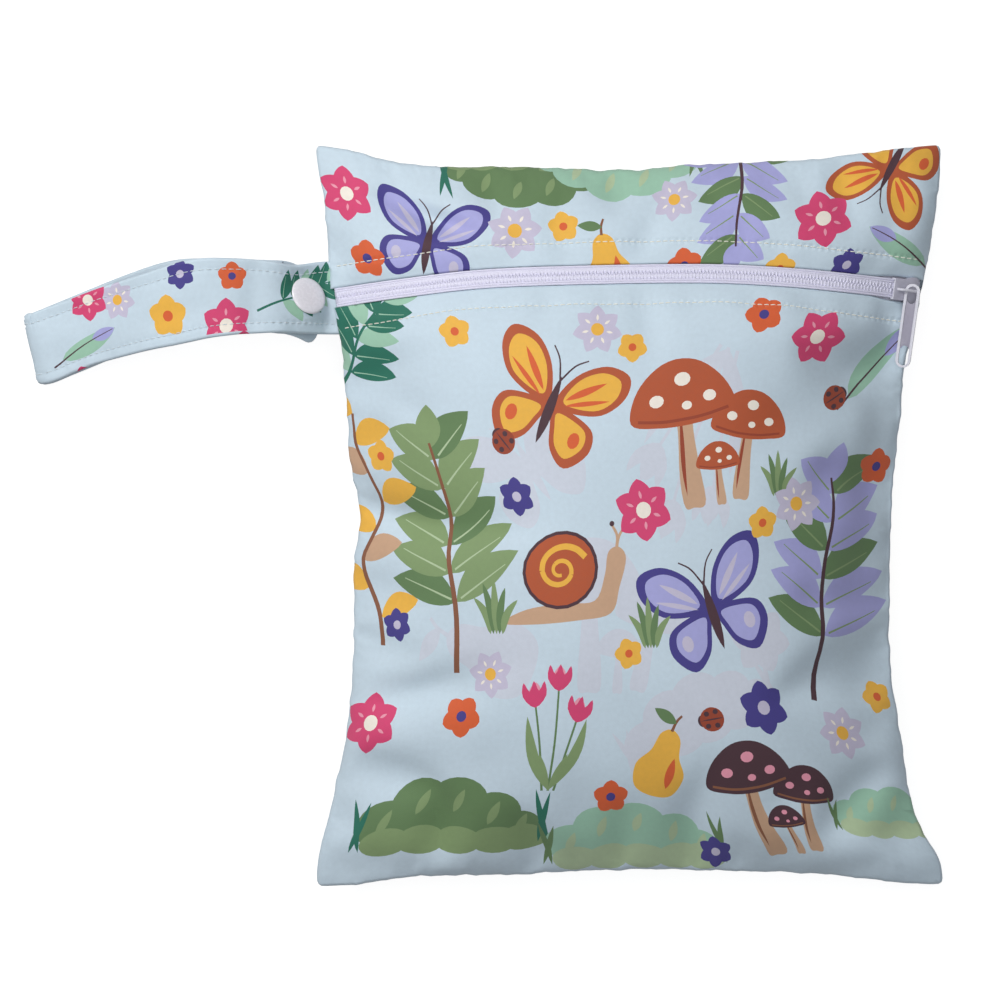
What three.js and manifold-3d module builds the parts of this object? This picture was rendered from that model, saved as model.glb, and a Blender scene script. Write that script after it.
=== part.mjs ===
// A small zipped wet bag, softly filled and lying on its back, with a snap loop at its left side.
// Two front panels and one back panel of thin cloth are sewn together round the rim and are hollow
// between. A coil zip closes the gap between the two front panels. Its slider stands at the right
// end, with the pull on the bail. The loop is a strip of doubled cloth: one end is held in the left
// seam, the strip folds back at its far end, and a plastic snap holds its tail under its root.
// Millimetres. +X is the bag's right, +Y its top edge, +Z up from the floor. The origin is the middle
// of the flat on which the back rests.

import * as THREE from "three";
import { mergeVertices } from "three/addons/utils/BufferGeometryUtils.js";
import Module from "manifold-3d";

const wasm = await Module();
wasm.setup();

// Sizes of the bag
const bagWidth = 200; // from corner to corner
const bagHeight = 237;
const seamHeight = 20; // of the rim seam over the floor, in the middle of a side
const cornerHeight = 9; // of the rim seam at the corners
const frontDome = 31; // rise of the front over the seam
const clothWall = 1;
const gap = 0.3; // left between neighbouring pieces
const flatShare = 0.66; // of the back's half width and height that rests flat

// Sizes of the zip
const zipOpening = 6; // between the two cloth edges
const sliderOpening = 9.6; // the same, where the slider spreads them
const zipPinch = 1.4; // depth of the trough that the stiff tape pulls along its line
const tapeWall = 0.5;
const tapeWidth = 11;
const tapeInnerEdge = 1.5; // from the middle line of the zip
const coilWidth = 5; // both coils together
const coilProud = 0.45; // of the cloth beside it
const sliderLength = 8.6;
const sliderNarrow = 6.9; // width at the closed end
const sliderWide = 8.6; // width at the open end
const sliderPlate = 0.7;
const sliderRoom = 0.5; // over the coils and under the tapes, which bend in it
const sliderFromSeam = 6.5; // from the right seam to the slider's middle
const bailLength = 7.6;
const bailForward = 0.5; // of its middle, towards the open end
const bailWire = 0.95;
const bailRoom = 2.2; // clear height under the bail
const pullLength = 27;
const pullWidth = 4.9;
const pullWall = 1.0;
const pullRim = 0.85;
const pullHang = 1.45; // from the bail's axis to the inner end of the eye
const pullRecess = 0.22;
const pullEyeLength = 5.6;
const pullSlotLength = 6.4;
const pullTwist = 45; // degrees that the ring-like eye leans on the bail
const pullDroop = 0.7; // degrees below the slider's own plane at rest

// Sizes of the snap loop
const strapWidth = 23.5;
const strapWall = 2; // doubled cloth
const strapReach = 97; // from the seam to the fold
const strapCrest = 31; // highest point of the loop over the floor
const strapTuck = 3; // length held inside the seam
const strapLevel = 0.59; // where its middle meets the left seam, from -1 at the bottom to 1 at the top
const foldRadius = 3; // of the loop's far end, to the middle of the cloth
const snapFromSeam = 8.4;
const snapLift = 4.4; // of the snap's middle over the seam
const snapSlope = 34; // degrees that the strap climbs at the snap
const capRadius = 6.2;
const capEdge = 0.6;
const capDome = 0.8;
const postRadius = 1.3;
const socketRadius = 5.1;
const socketWall = 2.1;
const studWall = 0.8;
const studRadius = 2.1;
const studHeight = 1.1;

// The rim as the bag lies. in is how far the edge is pulled in from the line between its corners, as a
// share of the bag's width on the two sides, and of its height at the top and the bottom.
const leftRim = [
  { at: -1, in: 0 },
  { at: -0.92, in: 0.004 },
  { at: -0.77, in: 0.026 },
  { at: -0.6, in: 0.047 },
  { at: -0.38, in: 0.06 },
  { at: -0.12, in: 0.062 },
  { at: 0.0, in: 0.071 },
  { at: 0.14, in: 0.056 },
  { at: 0.33, in: 0.048 },
  { at: 0.47, in: 0.039 },
  { at: 0.61, in: 0.025 },
  { at: 0.84, in: 0.014 },
  { at: 0.94, in: 0.004 },
  { at: 1, in: 0 },
];
const rightRim = [
  { at: -1, in: 0 },
  { at: -0.93, in: 0.003 },
  { at: -0.85, in: 0.029 },
  { at: -0.77, in: 0.046 },
  { at: -0.6, in: 0.062 },
  { at: -0.44, in: 0.077 },
  { at: -0.26, in: 0.081 },
  { at: 0.06, in: 0.077 },
  { at: 0.25, in: 0.065 },
  { at: 0.42, in: 0.055 },
  { at: 0.61, in: 0.029 },
  { at: 0.77, in: 0.011 },
  { at: 0.88, in: 0.002 },
  { at: 1, in: 0 },
];
const topRim = [
  { at: -1, in: 0 },
  { at: -0.9, in: 0.005 },
  { at: -0.76, in: 0.019 },
  { at: -0.62, in: 0.027 },
  { at: -0.38, in: 0.028 },
  { at: 0.0, in: 0.032 },
  { at: 0.2, in: 0.025 },
  { at: 0.5, in: 0.02 },
  { at: 0.71, in: 0.012 },
  { at: 0.86, in: 0.003 },
  { at: 1, in: 0 },
];
const bottomRim = [
  { at: -1, in: 0 },
  { at: -0.87, in: 0.001 },
  { at: -0.68, in: 0.012 },
  { at: -0.38, in: 0.015 },
  { at: -0.05, in: 0.021 },
  { at: 0.22, in: 0.021 },
  { at: 0.5, in: 0.018 },
  { at: 0.71, in: 0.012 },
  { at: 0.86, in: 0.003 },
  { at: 1, in: 0 },
];
// The middle line of the zip. in is its distance from the line between the top corners, as a share of
// the bag's height.
const zipLine = [
  { at: -1, in: 0.206 },
  { at: -0.77, in: 0.194 },
  { at: -0.5, in: 0.182 },
  { at: -0.2, in: 0.177 },
  { at: 0.25, in: 0.1745 },
  { at: 0.52, in: 0.179 },
  { at: 0.78, in: 0.188 },
  { at: 1, in: 0.197 },
];

// The main dents and folds. across and up place each one's middle on the panel, from -1 to 1, and turn is
// its direction in degrees. long and wide are shares of the bag's width, deep one of the dome on the
// front and of the seam's height on the back. A fold with a negative depth stands out.
const frontFolds = [
  { across: 0.79, up: 0.44, turn: 43, long: 0.17, wide: 0.05, deep: 0.12 },
  { across: 0.9, up: 0.12, turn: 86, long: 0.2, wide: 0.03, deep: 0.07 },
  { across: -0.86, up: 0.01, turn: -12, long: 0.11, wide: 0.027, deep: 0.09 },
  { across: -0.72, up: -0.46, turn: 16, long: 0.12, wide: 0.032, deep: 0.09 },
  { across: -0.8, up: 0.33, turn: -30, long: 0.1, wide: 0.035, deep: 0.05 },
  { across: -0.62, up: 0.84, turn: -32, long: 0.12, wide: 0.035, deep: 0.07 },
  { across: 0.86, up: 0.82, turn: 78, long: 0.1, wide: 0.03, deep: 0.06 },
  { across: -0.62, up: -0.88, turn: 62, long: 0.1, wide: 0.035, deep: 0.08 },
  { across: 0.82, up: -0.76, turn: -48, long: 0.13, wide: 0.035, deep: 0.08 },
  { across: 0.2, up: -0.9, turn: 84, long: 0.07, wide: 0.04, deep: 0.04 },
  { across: 0.84, up: -0.3, turn: 12, long: 0.09, wide: 0.035, deep: -0.05 },
];
const backFolds = [
  { across: -0.88, up: 0.3, turn: 10, long: 0.07, wide: 0.04, deep: 0.12 },
  { across: 0.88, up: -0.15, turn: -14, long: 0.07, wide: 0.04, deep: 0.14 },
  { across: 0.3, up: 0.88, turn: 80, long: 0.06, wide: 0.045, deep: 0.12 },
  { across: -0.35, up: -0.88, turn: 98, long: 0.06, wide: 0.045, deep: 0.12 },
];

// The loop's route between the two stretches that the snap holds flat. out is the distance from the seam
// and side the sideways drift, as shares of the reach. up is the height, as a share of the crest. turn is
// the direction of the strap's width in degrees.
const loopTop = [
  { out: 0.19, up: 0.945, side: 0.001, turn: 0 },
  { out: 0.26, up: 0.995, side: 0.002, turn: 0 },
  { out: 0.33, up: 1.0, side: 0.001, turn: 2 },
  { out: 0.44, up: 0.955, side: -0.006, turn: 5 },
  { out: 0.56, up: 0.83, side: -0.032, turn: 9 },
  { out: 0.68, up: 0.655, side: -0.062, turn: 12 },
  { out: 0.8, up: 0.47, side: -0.1, turn: 14 },
  { out: 0.9, up: 0.325, side: -0.137, turn: 13 },
];
const loopUnder = [
  { out: 0.9, up: 0, side: -0.135, turn: 12 },
  { out: 0.78, up: 0, side: -0.085, turn: 12 },
  { out: 0.64, up: 0, side: -0.03, turn: 10 },
  { out: 0.52, up: 0.025, side: 0.004, turn: 7 },
  { out: 0.41, up: 0.2, side: 0.012, turn: 3 },
  { out: 0.31, up: 0.52, side: 0.004, turn: 0 },
  { out: 0.245, up: 0.74, side: -0.008, turn: -2 },
];
const tailSide = -0.024; // of the tail under the snap, as a share of the reach
const tailLength = 8.6; // past the snap's middle
const snapFlat = 7; // half length of the stretch that the snap holds flat

// Fineness of the meshes
const panelColumns = 28;
const lowerRows = 20;
const upperRows = 8;
const backRows = 24;
const strapSteps = 3; // between two points of the route
const roundSides = 20;

const { abs, sin, cos, min, max, hypot, exp, sqrt, PI } = Math;
const radians = THREE.MathUtils.degToRad;
const vector = (x, y, z) => new THREE.Vector3(x, y, z);
const mix = (a, b, t) => a + (b - a) * t;

// The value of a table at a place, on one smooth line through its rows.
function along(rows, place) {
  const last = rows.length - 1;
  const slope = (i) => {
    const a = rows[max(i - 1, 0)];
    const b = rows[min(i + 1, last)];
    return (b.in - a.in) / (b.at - a.at);
  };
  let i = 0;
  while (i < last - 1 && place > rows[i + 1].at) i++;
  const [a, b] = [rows[i], rows[i + 1]];
  const span = b.at - a.at;
  const t = (place - a.at) / span;
  const [t2, t3] = [t * t, t * t * t];
  return (
    (2 * t3 - 3 * t2 + 1) * a.in +
    (t3 - 2 * t2 + t) * span * slope(i) +
    (3 * t2 - 2 * t3) * b.in +
    (t3 - t2) * span * slope(i + 1)
  );
}

// The bag in plan: u runs from -1 at the left rim to 1 at the right, v from -1 at the bottom to 1 at the top.
const leftX = (v) => -bagWidth / 2 + bagWidth * along(leftRim, v);
const rightX = (v) => bagWidth / 2 - bagWidth * along(rightRim, v);
const topY = (u) => bagHeight / 2 - bagHeight * along(topRim, u);
const bottomY = (u) => -bagHeight / 2 + bagHeight * along(bottomRim, u);
const zipY = (u) => bagHeight / 2 - bagHeight * along(zipLine, u);
// An inner layer is drawn in from the rims.
const planX = (u, v, inset) => mix(leftX(v), rightX(v), (u + 1) / 2) - inset * u ** 15;
const planY = (u, v, inset) => mix(bottomY(u), topY(u), (v + 1) / 2) - inset * v ** 15;
const upFrom = (u, y) => (2 * (y - bottomY(u))) / (topY(u) - bottomY(u)) - 1;

const seamZ = (u, v) => mix(seamHeight, cornerHeight, abs(u * v) ** 4);

// The sum of the folds at a place, as a share of the height that they follow.
function folded(folds, u, v) {
  let sum = 0;
  for (const fold of folds) {
    const x = ((u - fold.across) * bagWidth) / 2;
    const y = ((v - fold.up) * bagHeight) / 2;
    const turn = radians(fold.turn);
    const lengthwise = (x * cos(turn) + y * sin(turn)) / (fold.long * bagWidth);
    const crosswise = (y * cos(turn) - x * sin(turn)) / (fold.wide * bagWidth);
    sum += fold.deep * exp(-lengthwise * lengthwise - crosswise * crosswise);
  }
  return sum;
}

// The front's outer height.
function frontHeight(u, v) {
  const swell = max(1 - abs(u) ** 2.4, 0) ** 0.9 * max(1 - abs(v) ** 2.6, 0) ** 0.8;
  const fade = 1 - (1 - swell) ** 6;
  const offZip = (planY(u, v, 0) - zipY(u)) / (2 * zipOpening);
  const pinch = zipPinch * exp(-offZip * offZip) * sqrt(swell);
  const rise = frontDome * (swell - folded(frontFolds, u, v) * fade) - pinch * fade;
  return seamZ(u, v) + rise + gap / 2 + clothWall;
}

// The stiff slider holds the cloth round it to the plane that touches the front at its middle.
const sliderAt = 1 - (2 * sliderFromSeam) / bagWidth;
const nearZip = (u, off) => {
  const v = upFrom(u, zipY(u) + off);
  return vector(planX(u, v, 0), planY(u, v, 0), frontHeight(u, v));
};
const sliderMiddle = nearZip(sliderAt, 0);
const zipAhead = nearZip(sliderAt + 0.03, 0).sub(nearZip(sliderAt - 0.03, 0)).normalize();
const zipAcross = nearZip(sliderAt, 4).sub(nearZip(sliderAt, -4));
const zipUp = vector(0, 0, 0).crossVectors(zipAhead, zipAcross).normalize();

// A point of the front, or of a layer that lies inset under it.
function frontPoint(u, v, inset) {
  const [x, y] = [planX(u, v, inset), planY(u, v, inset)];
  const [dx, dy] = [x - sliderMiddle.x, y - sliderMiddle.y];
  const hold = exp(-(((dx * dx + dy * dy) / sliderLength ** 2) ** 2)) * (1 - abs(u) ** 60);
  const plane = sliderMiddle.z - (zipUp.x * dx + zipUp.y * dy) / zipUp.z;
  return vector(x, y, mix(frontHeight(u, v), plane, hold) - inset);
}

// A point of the back, flat in the middle and curling up to the seam.
function backPoint(u, v, inset) {
  const curl = (t) => max((abs(t) - flatShare) / (1 - flatShare), 0) ** 1.6;
  const rise = 1 - (1 - curl(u)) * (1 - curl(v));
  const dent = seamHeight * folded(backFolds, u, v) * 4 * rise * (1 - rise);
  const z = (seamZ(u, v) - clothWall - gap / 2) * rise + dent + inset;
  return vector(planX(u, v, inset), planY(u, v, inset), z);
}

function indexed(points, faces) {
  const geometry = new THREE.BufferGeometry();
  const numbers = points.flatMap((p) => [p.x, p.y, p.z]);
  geometry.setAttribute("position", new THREE.Float32BufferAttribute(numbers, 3));
  geometry.setIndex(faces.flat());
  return geometry;
}

// A closed sheet between an outer and an inner grid of points. at(i, j, inset) gives them, with i and j
// from 0 to 1, and facing says if the outer side lies on the left of i and j.
function sheet(columns, rows, at, outer, inner, facing) {
  const points = [];
  for (const inset of [outer, inner])
    for (let j = 0; j <= rows; j++)
      for (let i = 0; i <= columns; i++) points.push(at(i / columns, j / rows, inset));
  const layer = (columns + 1) * (rows + 1);
  const corner = (i, j, side) => side * layer + j * (columns + 1) + i;
  const faces = [];
  const quad = (a, b, c, d) => faces.push([a, b, c], [a, c, d]);
  for (let j = 0; j < rows; j++)
    for (let i = 0; i < columns; i++) {
      quad(corner(i, j, 0), corner(i + 1, j, 0), corner(i + 1, j + 1, 0), corner(i, j + 1, 0));
      quad(corner(i, j, 1), corner(i, j + 1, 1), corner(i + 1, j + 1, 1), corner(i + 1, j, 1));
    }
  for (let i = 0; i < columns; i++) {
    quad(corner(i, 0, 0), corner(i, 0, 1), corner(i + 1, 0, 1), corner(i + 1, 0, 0));
    quad(corner(i + 1, rows, 0), corner(i + 1, rows, 1), corner(i, rows, 1), corner(i, rows, 0));
  }
  for (let j = 0; j < rows; j++) {
    quad(corner(0, j + 1, 0), corner(0, j + 1, 1), corner(0, j, 1), corner(0, j, 0));
    quad(corner(columns, j, 0), corner(columns, j, 1), corner(columns, j + 1, 1), corner(columns, j + 1, 0));
  }
  if (!facing) faces.forEach((face) => face.reverse());
  return indexed(points, faces);
}

// A closed bar through rings of points, all with the same count.
function loft(rings) {
  const count = rings[0].length;
  const faces = [];
  for (let i = 0; i + 1 < rings.length; i++)
    for (let k = 0; k < count; k++) {
      const [a, b] = [i * count + k, i * count + ((k + 1) % count)];
      faces.push([a, b, b + count], [a, b + count, a + count]);
    }
  const end = (rings.length - 1) * count;
  for (let k = 1; k + 1 < count; k++) faces.push([0, k + 1, k], [end, end + k, end + k + 1]);
  return indexed(rings.flat(), faces);
}

function solid(geometry) {
  const bare = geometry.index ? geometry.toNonIndexed() : geometry.clone();
  bare.deleteAttribute("normal");
  bare.deleteAttribute("uv");
  const merged = mergeVertices(bare, 1e-4);
  return new wasm.Manifold(
    new wasm.Mesh({
      numProp: 3,
      vertProperties: merged.attributes.position.array,
      triVerts: new Uint32Array(merged.index.array),
    }),
  );
}

function surface(body) {
  const mesh = body.getMesh();
  const geometry = new THREE.BufferGeometry();
  geometry.setAttribute("position", new THREE.Float32BufferAttribute(mesh.vertProperties, 3));
  geometry.setIndex([...mesh.triVerts]);
  return geometry;
}

const unite = (...geometries) => surface(geometries.map(solid).reduce((a, b) => a.add(b)));
const cut = (geometry, ...tools) => surface(tools.map(solid).reduce((a, b) => a.subtract(b), solid(geometry)));

function box(x0, x1, y0, y1, z0, z1) {
  const block = new THREE.BoxGeometry(x1 - x0, y1 - y0, z1 - z0);
  return block.translate((x0 + x1) / 2, (y0 + y1) / 2, (z0 + z1) / 2);
}

function plate(outline, z0, z1, holes = []) {
  outline.holes = holes;
  const options = { depth: z1 - z0, bevelEnabled: false, curveSegments: 6 };
  return new THREE.ExtrudeGeometry(outline, options).translate(0, 0, z0);
}

// A solid turned about +Z from a list of radius and height.
function turned(profile) {
  const line = profile.map(([radius, height]) => new THREE.Vector2(radius, height));
  return new THREE.LatheGeometry(line, roundSides).rotateX(PI / 2);
}

// Half the gap between the two cloth edges of the zip, wider where the slider spreads them.
function halfOpening(u) {
  const reach = ((u - sliderAt) * bagWidth) / 2 / sliderLength;
  return mix(zipOpening, sliderOpening, exp(-(reach ** 4))) / 2;
}

// Panels
const lowerEdge = (u) => upFrom(u, zipY(u) - halfOpening(u));
const upperEdge = (u) => upFrom(u, zipY(u) + halfOpening(u));
const column = (i) => mix(2 * i - 1, sin((PI / 2) * (2 * i - 1)), 0.6); // closer together at the rims
const fromRim = (j) => mix(j, (1 - cos(PI * j)) / 2, 0.6);
const lowerAt = (i, j, inset) => frontPoint(column(i), mix(-1, lowerEdge(column(i)), fromRim(j)), inset);
const upperAt = (i, j, inset) => frontPoint(column(i), mix(upperEdge(column(i)), 1, fromRim(j)), inset);
const backAt = (i, j, inset) => backPoint(column(i), column(j), inset);
const frontLower = sheet(panelColumns, lowerRows, lowerAt, 0, clothWall, true);
const frontUpper = sheet(panelColumns, upperRows, upperAt, 0, clothWall, true);
const back = sheet(panelColumns, backRows, backAt, 0, clothWall, false);

// Snap loop
const rootV = strapLevel;
const root = vector(leftX(rootV), planY(-1, rootV, 0), seamZ(-1, rootV));
const layerGap = gap * 3 + socketWall + studWall; // clear height between the two layers at the snap
const climb = radians(snapSlope);
const downhill = vector(cos(climb), 0, -sin(climb)); // along the strap at the snap, towards the bag
const snapUp = vector(sin(climb), 0, cos(climb));
const snapTop = root.clone().add(vector(-snapFromSeam, 0, snapLift)); // middle of the upper layer there
const snapMiddle = snapTop.clone().addScaledVector(snapUp, -(layerGap + strapWall) / 2);
const snapUnder = snapTop.clone().addScaledVector(snapUp, -(layerGap + strapWall));
const floorRest = strapWall / 2; // height of the cloth's middle where it lies on the floor

function loopRoute() {
  const free = (row, rest) => ({
    p: vector(root.x - row.out * strapReach, root.y + row.side * strapReach, max(row.up * strapCrest, rest)),
    turn: row.turn,
  });
  const held = (middle, step, side) => ({
    p: middle.clone().addScaledVector(downhill, step).add(vector(0, side * strapReach, 0)),
    turn: 0,
  });
  const [high, low] = [loopTop.at(-1), loopUnder[0]];
  const foldX = root.x - strapReach + foldRadius + strapWall / 2;
  const foldAt = (angle) => ({
    p: vector(
      foldX - foldRadius * sin(angle),
      root.y + (mix(high.side, low.side, 0.5) - 0.028) * strapReach,
      floorRest + foldRadius * (1 + cos(angle)),
    ),
    turn: high.turn,
  });
  return [
    { p: root.clone().add(vector(strapTuck, 0, 0)), turn: 0 },
    { p: root.clone(), turn: 0 },
    ...[1, 0.6, 0, -0.6, -1].map((step) => held(snapTop, step * snapFlat, 0)),
    ...loopTop.map((row) => free(row, floorRest)),
    foldAt(radians(20)),
    foldAt(radians(90)),
    foldAt(radians(160)),
    ...loopUnder.map((row) => free(row, floorRest)),
    ...[-1, -0.6, 0, 0.6].map((step) => held(snapUnder, step * snapFlat, tailSide)),
    held(snapUnder, tailLength, tailSide),
  ];
}

// The strap along its route, up to a number of stations, or a cutter that is larger by grow all round.
function strapBar(grow, most = Infinity) {
  const route = loopRoute();
  const curve = new THREE.CatmullRomCurve3(route.map((stop) => stop.p), false, "centripetal");
  const steps = (route.length - 1) * strapSteps;
  const [half, thick, soft] = [strapWidth / 2 + grow, strapWall / 2 + grow, strapWall / 2];
  const section = [
    [-half, -thick * 0.45],
    [-half + soft * 0.6, -thick],
    [half - soft * 0.6, -thick],
    [half, -thick * 0.45],
    [half, thick * 0.45],
    [half - soft * 0.6, thick],
    [-half + soft * 0.6, thick],
    [-half, thick * 0.45],
  ];
  const rings = [];
  for (let k = 0; k <= min(steps, most); k++) {
    const t = k / steps;
    const stop = min(Math.floor(t * (route.length - 1)), route.length - 2);
    const turn = radians(mix(route[stop].turn, route[stop + 1].turn, t * (route.length - 1) - stop));
    const middle = curve.getPoint(t);
    const ahead = curve.getTangent(t);
    if (k === 0) middle.addScaledVector(ahead, -grow);
    const across = vector(-sin(turn), cos(turn), 0);
    across.addScaledVector(ahead, -across.dot(ahead)).normalize();
    const out = vector(0, 0, 0).crossVectors(across, ahead);
    const ring = section.map(([a, b]) => middle.clone().addScaledVector(across, a).addScaledVector(out, -b));
    ring.forEach((corner) => (corner.z = max(corner.z, 0)));
    rings.push(ring);
  }
  return loft(rings);
}

// Turns local axes into the frame with its +Z along up and its +X along ahead.
function placed(origin, ahead, up) {
  const across = vector(0, 0, 0).crossVectors(up, ahead).normalize();
  const group = new THREE.Group();
  group.quaternion.setFromRotationMatrix(new THREE.Matrix4().makeBasis(ahead, across, up));
  group.position.copy(origin);
  return group;
}

const snapFrame = placed(snapMiddle, downhill, snapUp);
snapFrame.updateMatrixWorld();
const holeRadius = postRadius + gap;
const snapHole = new THREE.CylinderGeometry(holeRadius, holeRadius, 4 * strapWall + layerGap, roundSides)
  .rotateX(PI / 2)
  .applyMatrix4(snapFrame.matrixWorld);
const strap = cut(strapBar(0), snapHole);
const slot = strapBar(gap, 4 * strapSteps);

const layerTop = layerGap / 2;
const capBase = layerTop + strapWall + gap;
const socketBase = layerTop - gap - socketWall;
const boreTop = socketBase + studHeight + gap;
const postTip = boreTop + gap;
const cap = (tip) =>
  turned([
    [0, tip],
    [postRadius, tip],
    [postRadius, capBase],
    [capRadius, capBase],
    [capRadius, capBase + capEdge],
    [capRadius * 0.8, capBase + capEdge + capDome * 0.6],
    [capRadius * 0.45, capBase + capEdge + capDome * 0.92],
    [0, capBase + capEdge + capDome],
  ]);
const socket = turned([
  [postRadius + gap, boreTop],
  [studRadius + gap, boreTop],
  [studRadius + gap, socketBase],
  [socketRadius * 0.85, socketBase],
  [socketRadius, socketBase + socketWall * 0.45],
  [socketRadius, socketBase + socketWall],
  [postRadius + gap, socketBase + socketWall],
  [postRadius + gap, boreTop],
]);
const studBase = -layerTop + gap;
const studSeat = studBase + studWall;
const stud = turned([
  [0, studBase + studWall / 2],
  [postRadius + gap, studBase + studWall / 2],
  [postRadius + gap, studBase],
  [socketRadius, studBase],
  [socketRadius, studSeat],
  [studRadius, studSeat],
  [studRadius, studSeat + studHeight * 0.7],
  [studRadius * 0.8, studSeat + studHeight],
  [0, studSeat + studHeight],
]);
const backCapTip = -(studBase + studWall / 2 - gap);

// Zip: each layer of it is a strip beside the middle line, from one distance to another.
const zipAt = (u, off, inset) => frontPoint(u, upFrom(u, zipY(u) + off), inset);
const zipSteps = panelColumns - 2; // the zip ends one column short of the rims
const zipColumn = (i) => column((1 + i * zipSteps) / panelColumns);
const tapeTop = clothWall + 2 * gap;
function tape(side) {
  const at = (i, j, inset) => zipAt(zipColumn(i), side * (tapeInnerEdge + tapeWidth * j), inset);
  return sheet(zipSteps, 4, at, tapeTop, tapeTop + tapeWall, side > 0);
}
function coil(side) {
  const half = coilWidth / 2;
  const rings = [];
  for (let k = 0; k < zipSteps; k++) {
    const u = zipColumn(k / zipSteps);
    const ring = [
      [gap / 2, clothWall],
      [half, clothWall],
      [half, -coilProud * 0.2],
      [half * 0.75, -coilProud],
      [half * 0.25, -coilProud],
      [gap / 2, -coilProud * 0.5],
    ].map(([off, inset]) => zipAt(u, side * off, inset));
    rings.push(side > 0 ? ring : ring.reverse());
  }
  return loft(rings);
}

// The slider's own frame: x along the zip towards the seam, y across it, z away from the cloth.
const zipFrame = placed(sliderMiddle, zipAhead, zipUp);

const topPlate = coilProud + sliderRoom; // underside of the upper plate
const plateTop = topPlate + sliderPlate;
const flangeFoot = -clothWall * 0.55;
const lowerPlate = -(tapeTop + tapeWall + sliderRoom); // upper side of the lower plate
const bailAxis = plateTop + bailRoom + bailWire / 2;

function sliderOutline(grow) {
  const [end, narrow, wide] = [sliderLength / 2, sliderNarrow / 2 + grow, sliderWide / 2 + grow];
  const outline = new THREE.Shape();
  outline.moveTo(-end, -narrow);
  outline.lineTo(0, -narrow);
  outline.quadraticCurveTo(end * 0.4, -wide, end * 0.7, -wide);
  outline.quadraticCurveTo(end, -wide, end, -wide * 0.55);
  outline.lineTo(end * 0.86, 0);
  outline.lineTo(end, wide * 0.55);
  outline.quadraticCurveTo(end, wide, end * 0.7, wide);
  outline.quadraticCurveTo(end * 0.4, wide, 0, narrow);
  outline.lineTo(-end, narrow);
  outline.closePath();
  return outline;
}

// The bail is a wire bent to a low bridge along the slider.
function bail() {
  const [foot, bend] = [bailLength / 2 - bailWire / 2, bailWire];
  const half = [
    [0, bailAxis],
    [foot - bend, bailAxis],
    [foot - bend * 0.3, bailAxis - bend * 0.3],
    [foot, bailAxis - bend],
    [foot, plateTop - sliderPlate / 2],
  ];
  const mirrored = half.slice(1).reverse().map(([x, z]) => [-x, z]);
  const path = [...mirrored, ...half].map(([x, z]) => [x + bailForward, z]);
  const rings = path.map(([x, z], k) => {
    const [a, b] = [path[max(k - 1, 0)], path[min(k + 1, path.length - 1)]];
    const [dx, dz] = [b[0] - a[0], b[1] - a[1]].map((d) => d / hypot(b[0] - a[0], b[1] - a[1]));
    return Array.from({ length: 8 }, (_, side) => {
      const angle = ((side + 0.5) * PI) / 4;
      const [out, across] = [(cos(angle) * bailWire) / 2, (sin(angle) * bailWire) / 2];
      return vector(x - dz * out, across, z + dx * out);
    });
  });
  return loft(rings.map((ring) => ring.reverse()));
}

function slider() {
  const [end, wall] = [sliderLength / 2, 0.6];
  const shell = plate(sliderOutline(0), flangeFoot, plateTop);
  const room = plate(sliderOutline(-wall), flangeFoot - 1, topPlate);
  const inner = sliderNarrow / 2 - wall;
  const through = box(-end - 1, end + 1, -inner, inner, flangeFoot - 1, topPlate);
  const under = plate(sliderOutline(0), lowerPlate - sliderPlate, lowerPlate);
  const wedge = box(end * 0.4, end * 0.8, -0.9, 0.9, lowerPlate - sliderPlate / 2, plateTop - sliderPlate / 2);
  return unite(cut(shell, room, through), under, wedge, bail());
}

// The pull, with its length along x from the bail's axis.
function capsule(from, to, half) {
  const outline = new THREE.Shape();
  outline.moveTo(from + half, -half);
  outline.lineTo(to - half, -half);
  outline.absarc(to - half, 0, half, -PI / 2, PI / 2, false);
  outline.lineTo(from + half, half);
  outline.absarc(from + half, 0, half, PI / 2, (PI * 3) / 2, false);
  outline.closePath();
  return outline;
}

function pull() {
  const head = -pullHang - pullRim;
  const tail = head + pullLength;
  const inner = pullWidth / 2 - pullRim;
  const eyeEnd = pullEyeLength - pullHang;
  const slotEnd = tail - pullRim * 0.8;
  const slotStart = slotEnd - pullSlotLength;
  const body = plate(capsule(head, tail, pullWidth / 2), -pullWall / 2, pullWall / 2, [
    capsule(-pullHang, eyeEnd, inner),
    capsule(slotStart, slotEnd, inner),
  ]);
  const face = (z0, z1) => box(eyeEnd + pullRim, slotStart - pullRim, -inner, inner, z0, z1);
  return cut(body, face(pullWall / 2 - pullRecess, pullWall), face(-pullWall, -pullWall / 2 + pullRecess));
}

const pullReach = (pullWidth * cos(radians(pullTwist)) + pullWall * sin(radians(pullTwist))) / 2;
const pullAt = bailForward + bailLength / 2 - bailWire - pullReach - gap; // at the lower end of the bail
const pullFrame = placed(vector(pullAt, 0, bailAxis), vector(0, -1, 0), vector(0, 0, 1));
pullFrame.rotateY(radians(pullDroop));
pullFrame.rotateX(radians(pullTwist));

// Materials
function finish(color, roughness, metalness = 0) {
  return new THREE.MeshStandardMaterial({ color, roughness, metalness, flatShading: true });
}
const printedCloth = finish(0xc4dbe6, 0.75);
const zipPolyester = finish(0xd6d6ea, 0.6);
const whiteEnamel = finish(0xd9d9e2, 0.35);
const whitePlastic = finish(0xe8e8ec, 0.3);

function piece(name, geometry, material, parent) {
  const mesh = new THREE.Mesh(geometry, material);
  mesh.name = name;
  parent.add(mesh);
}

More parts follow.
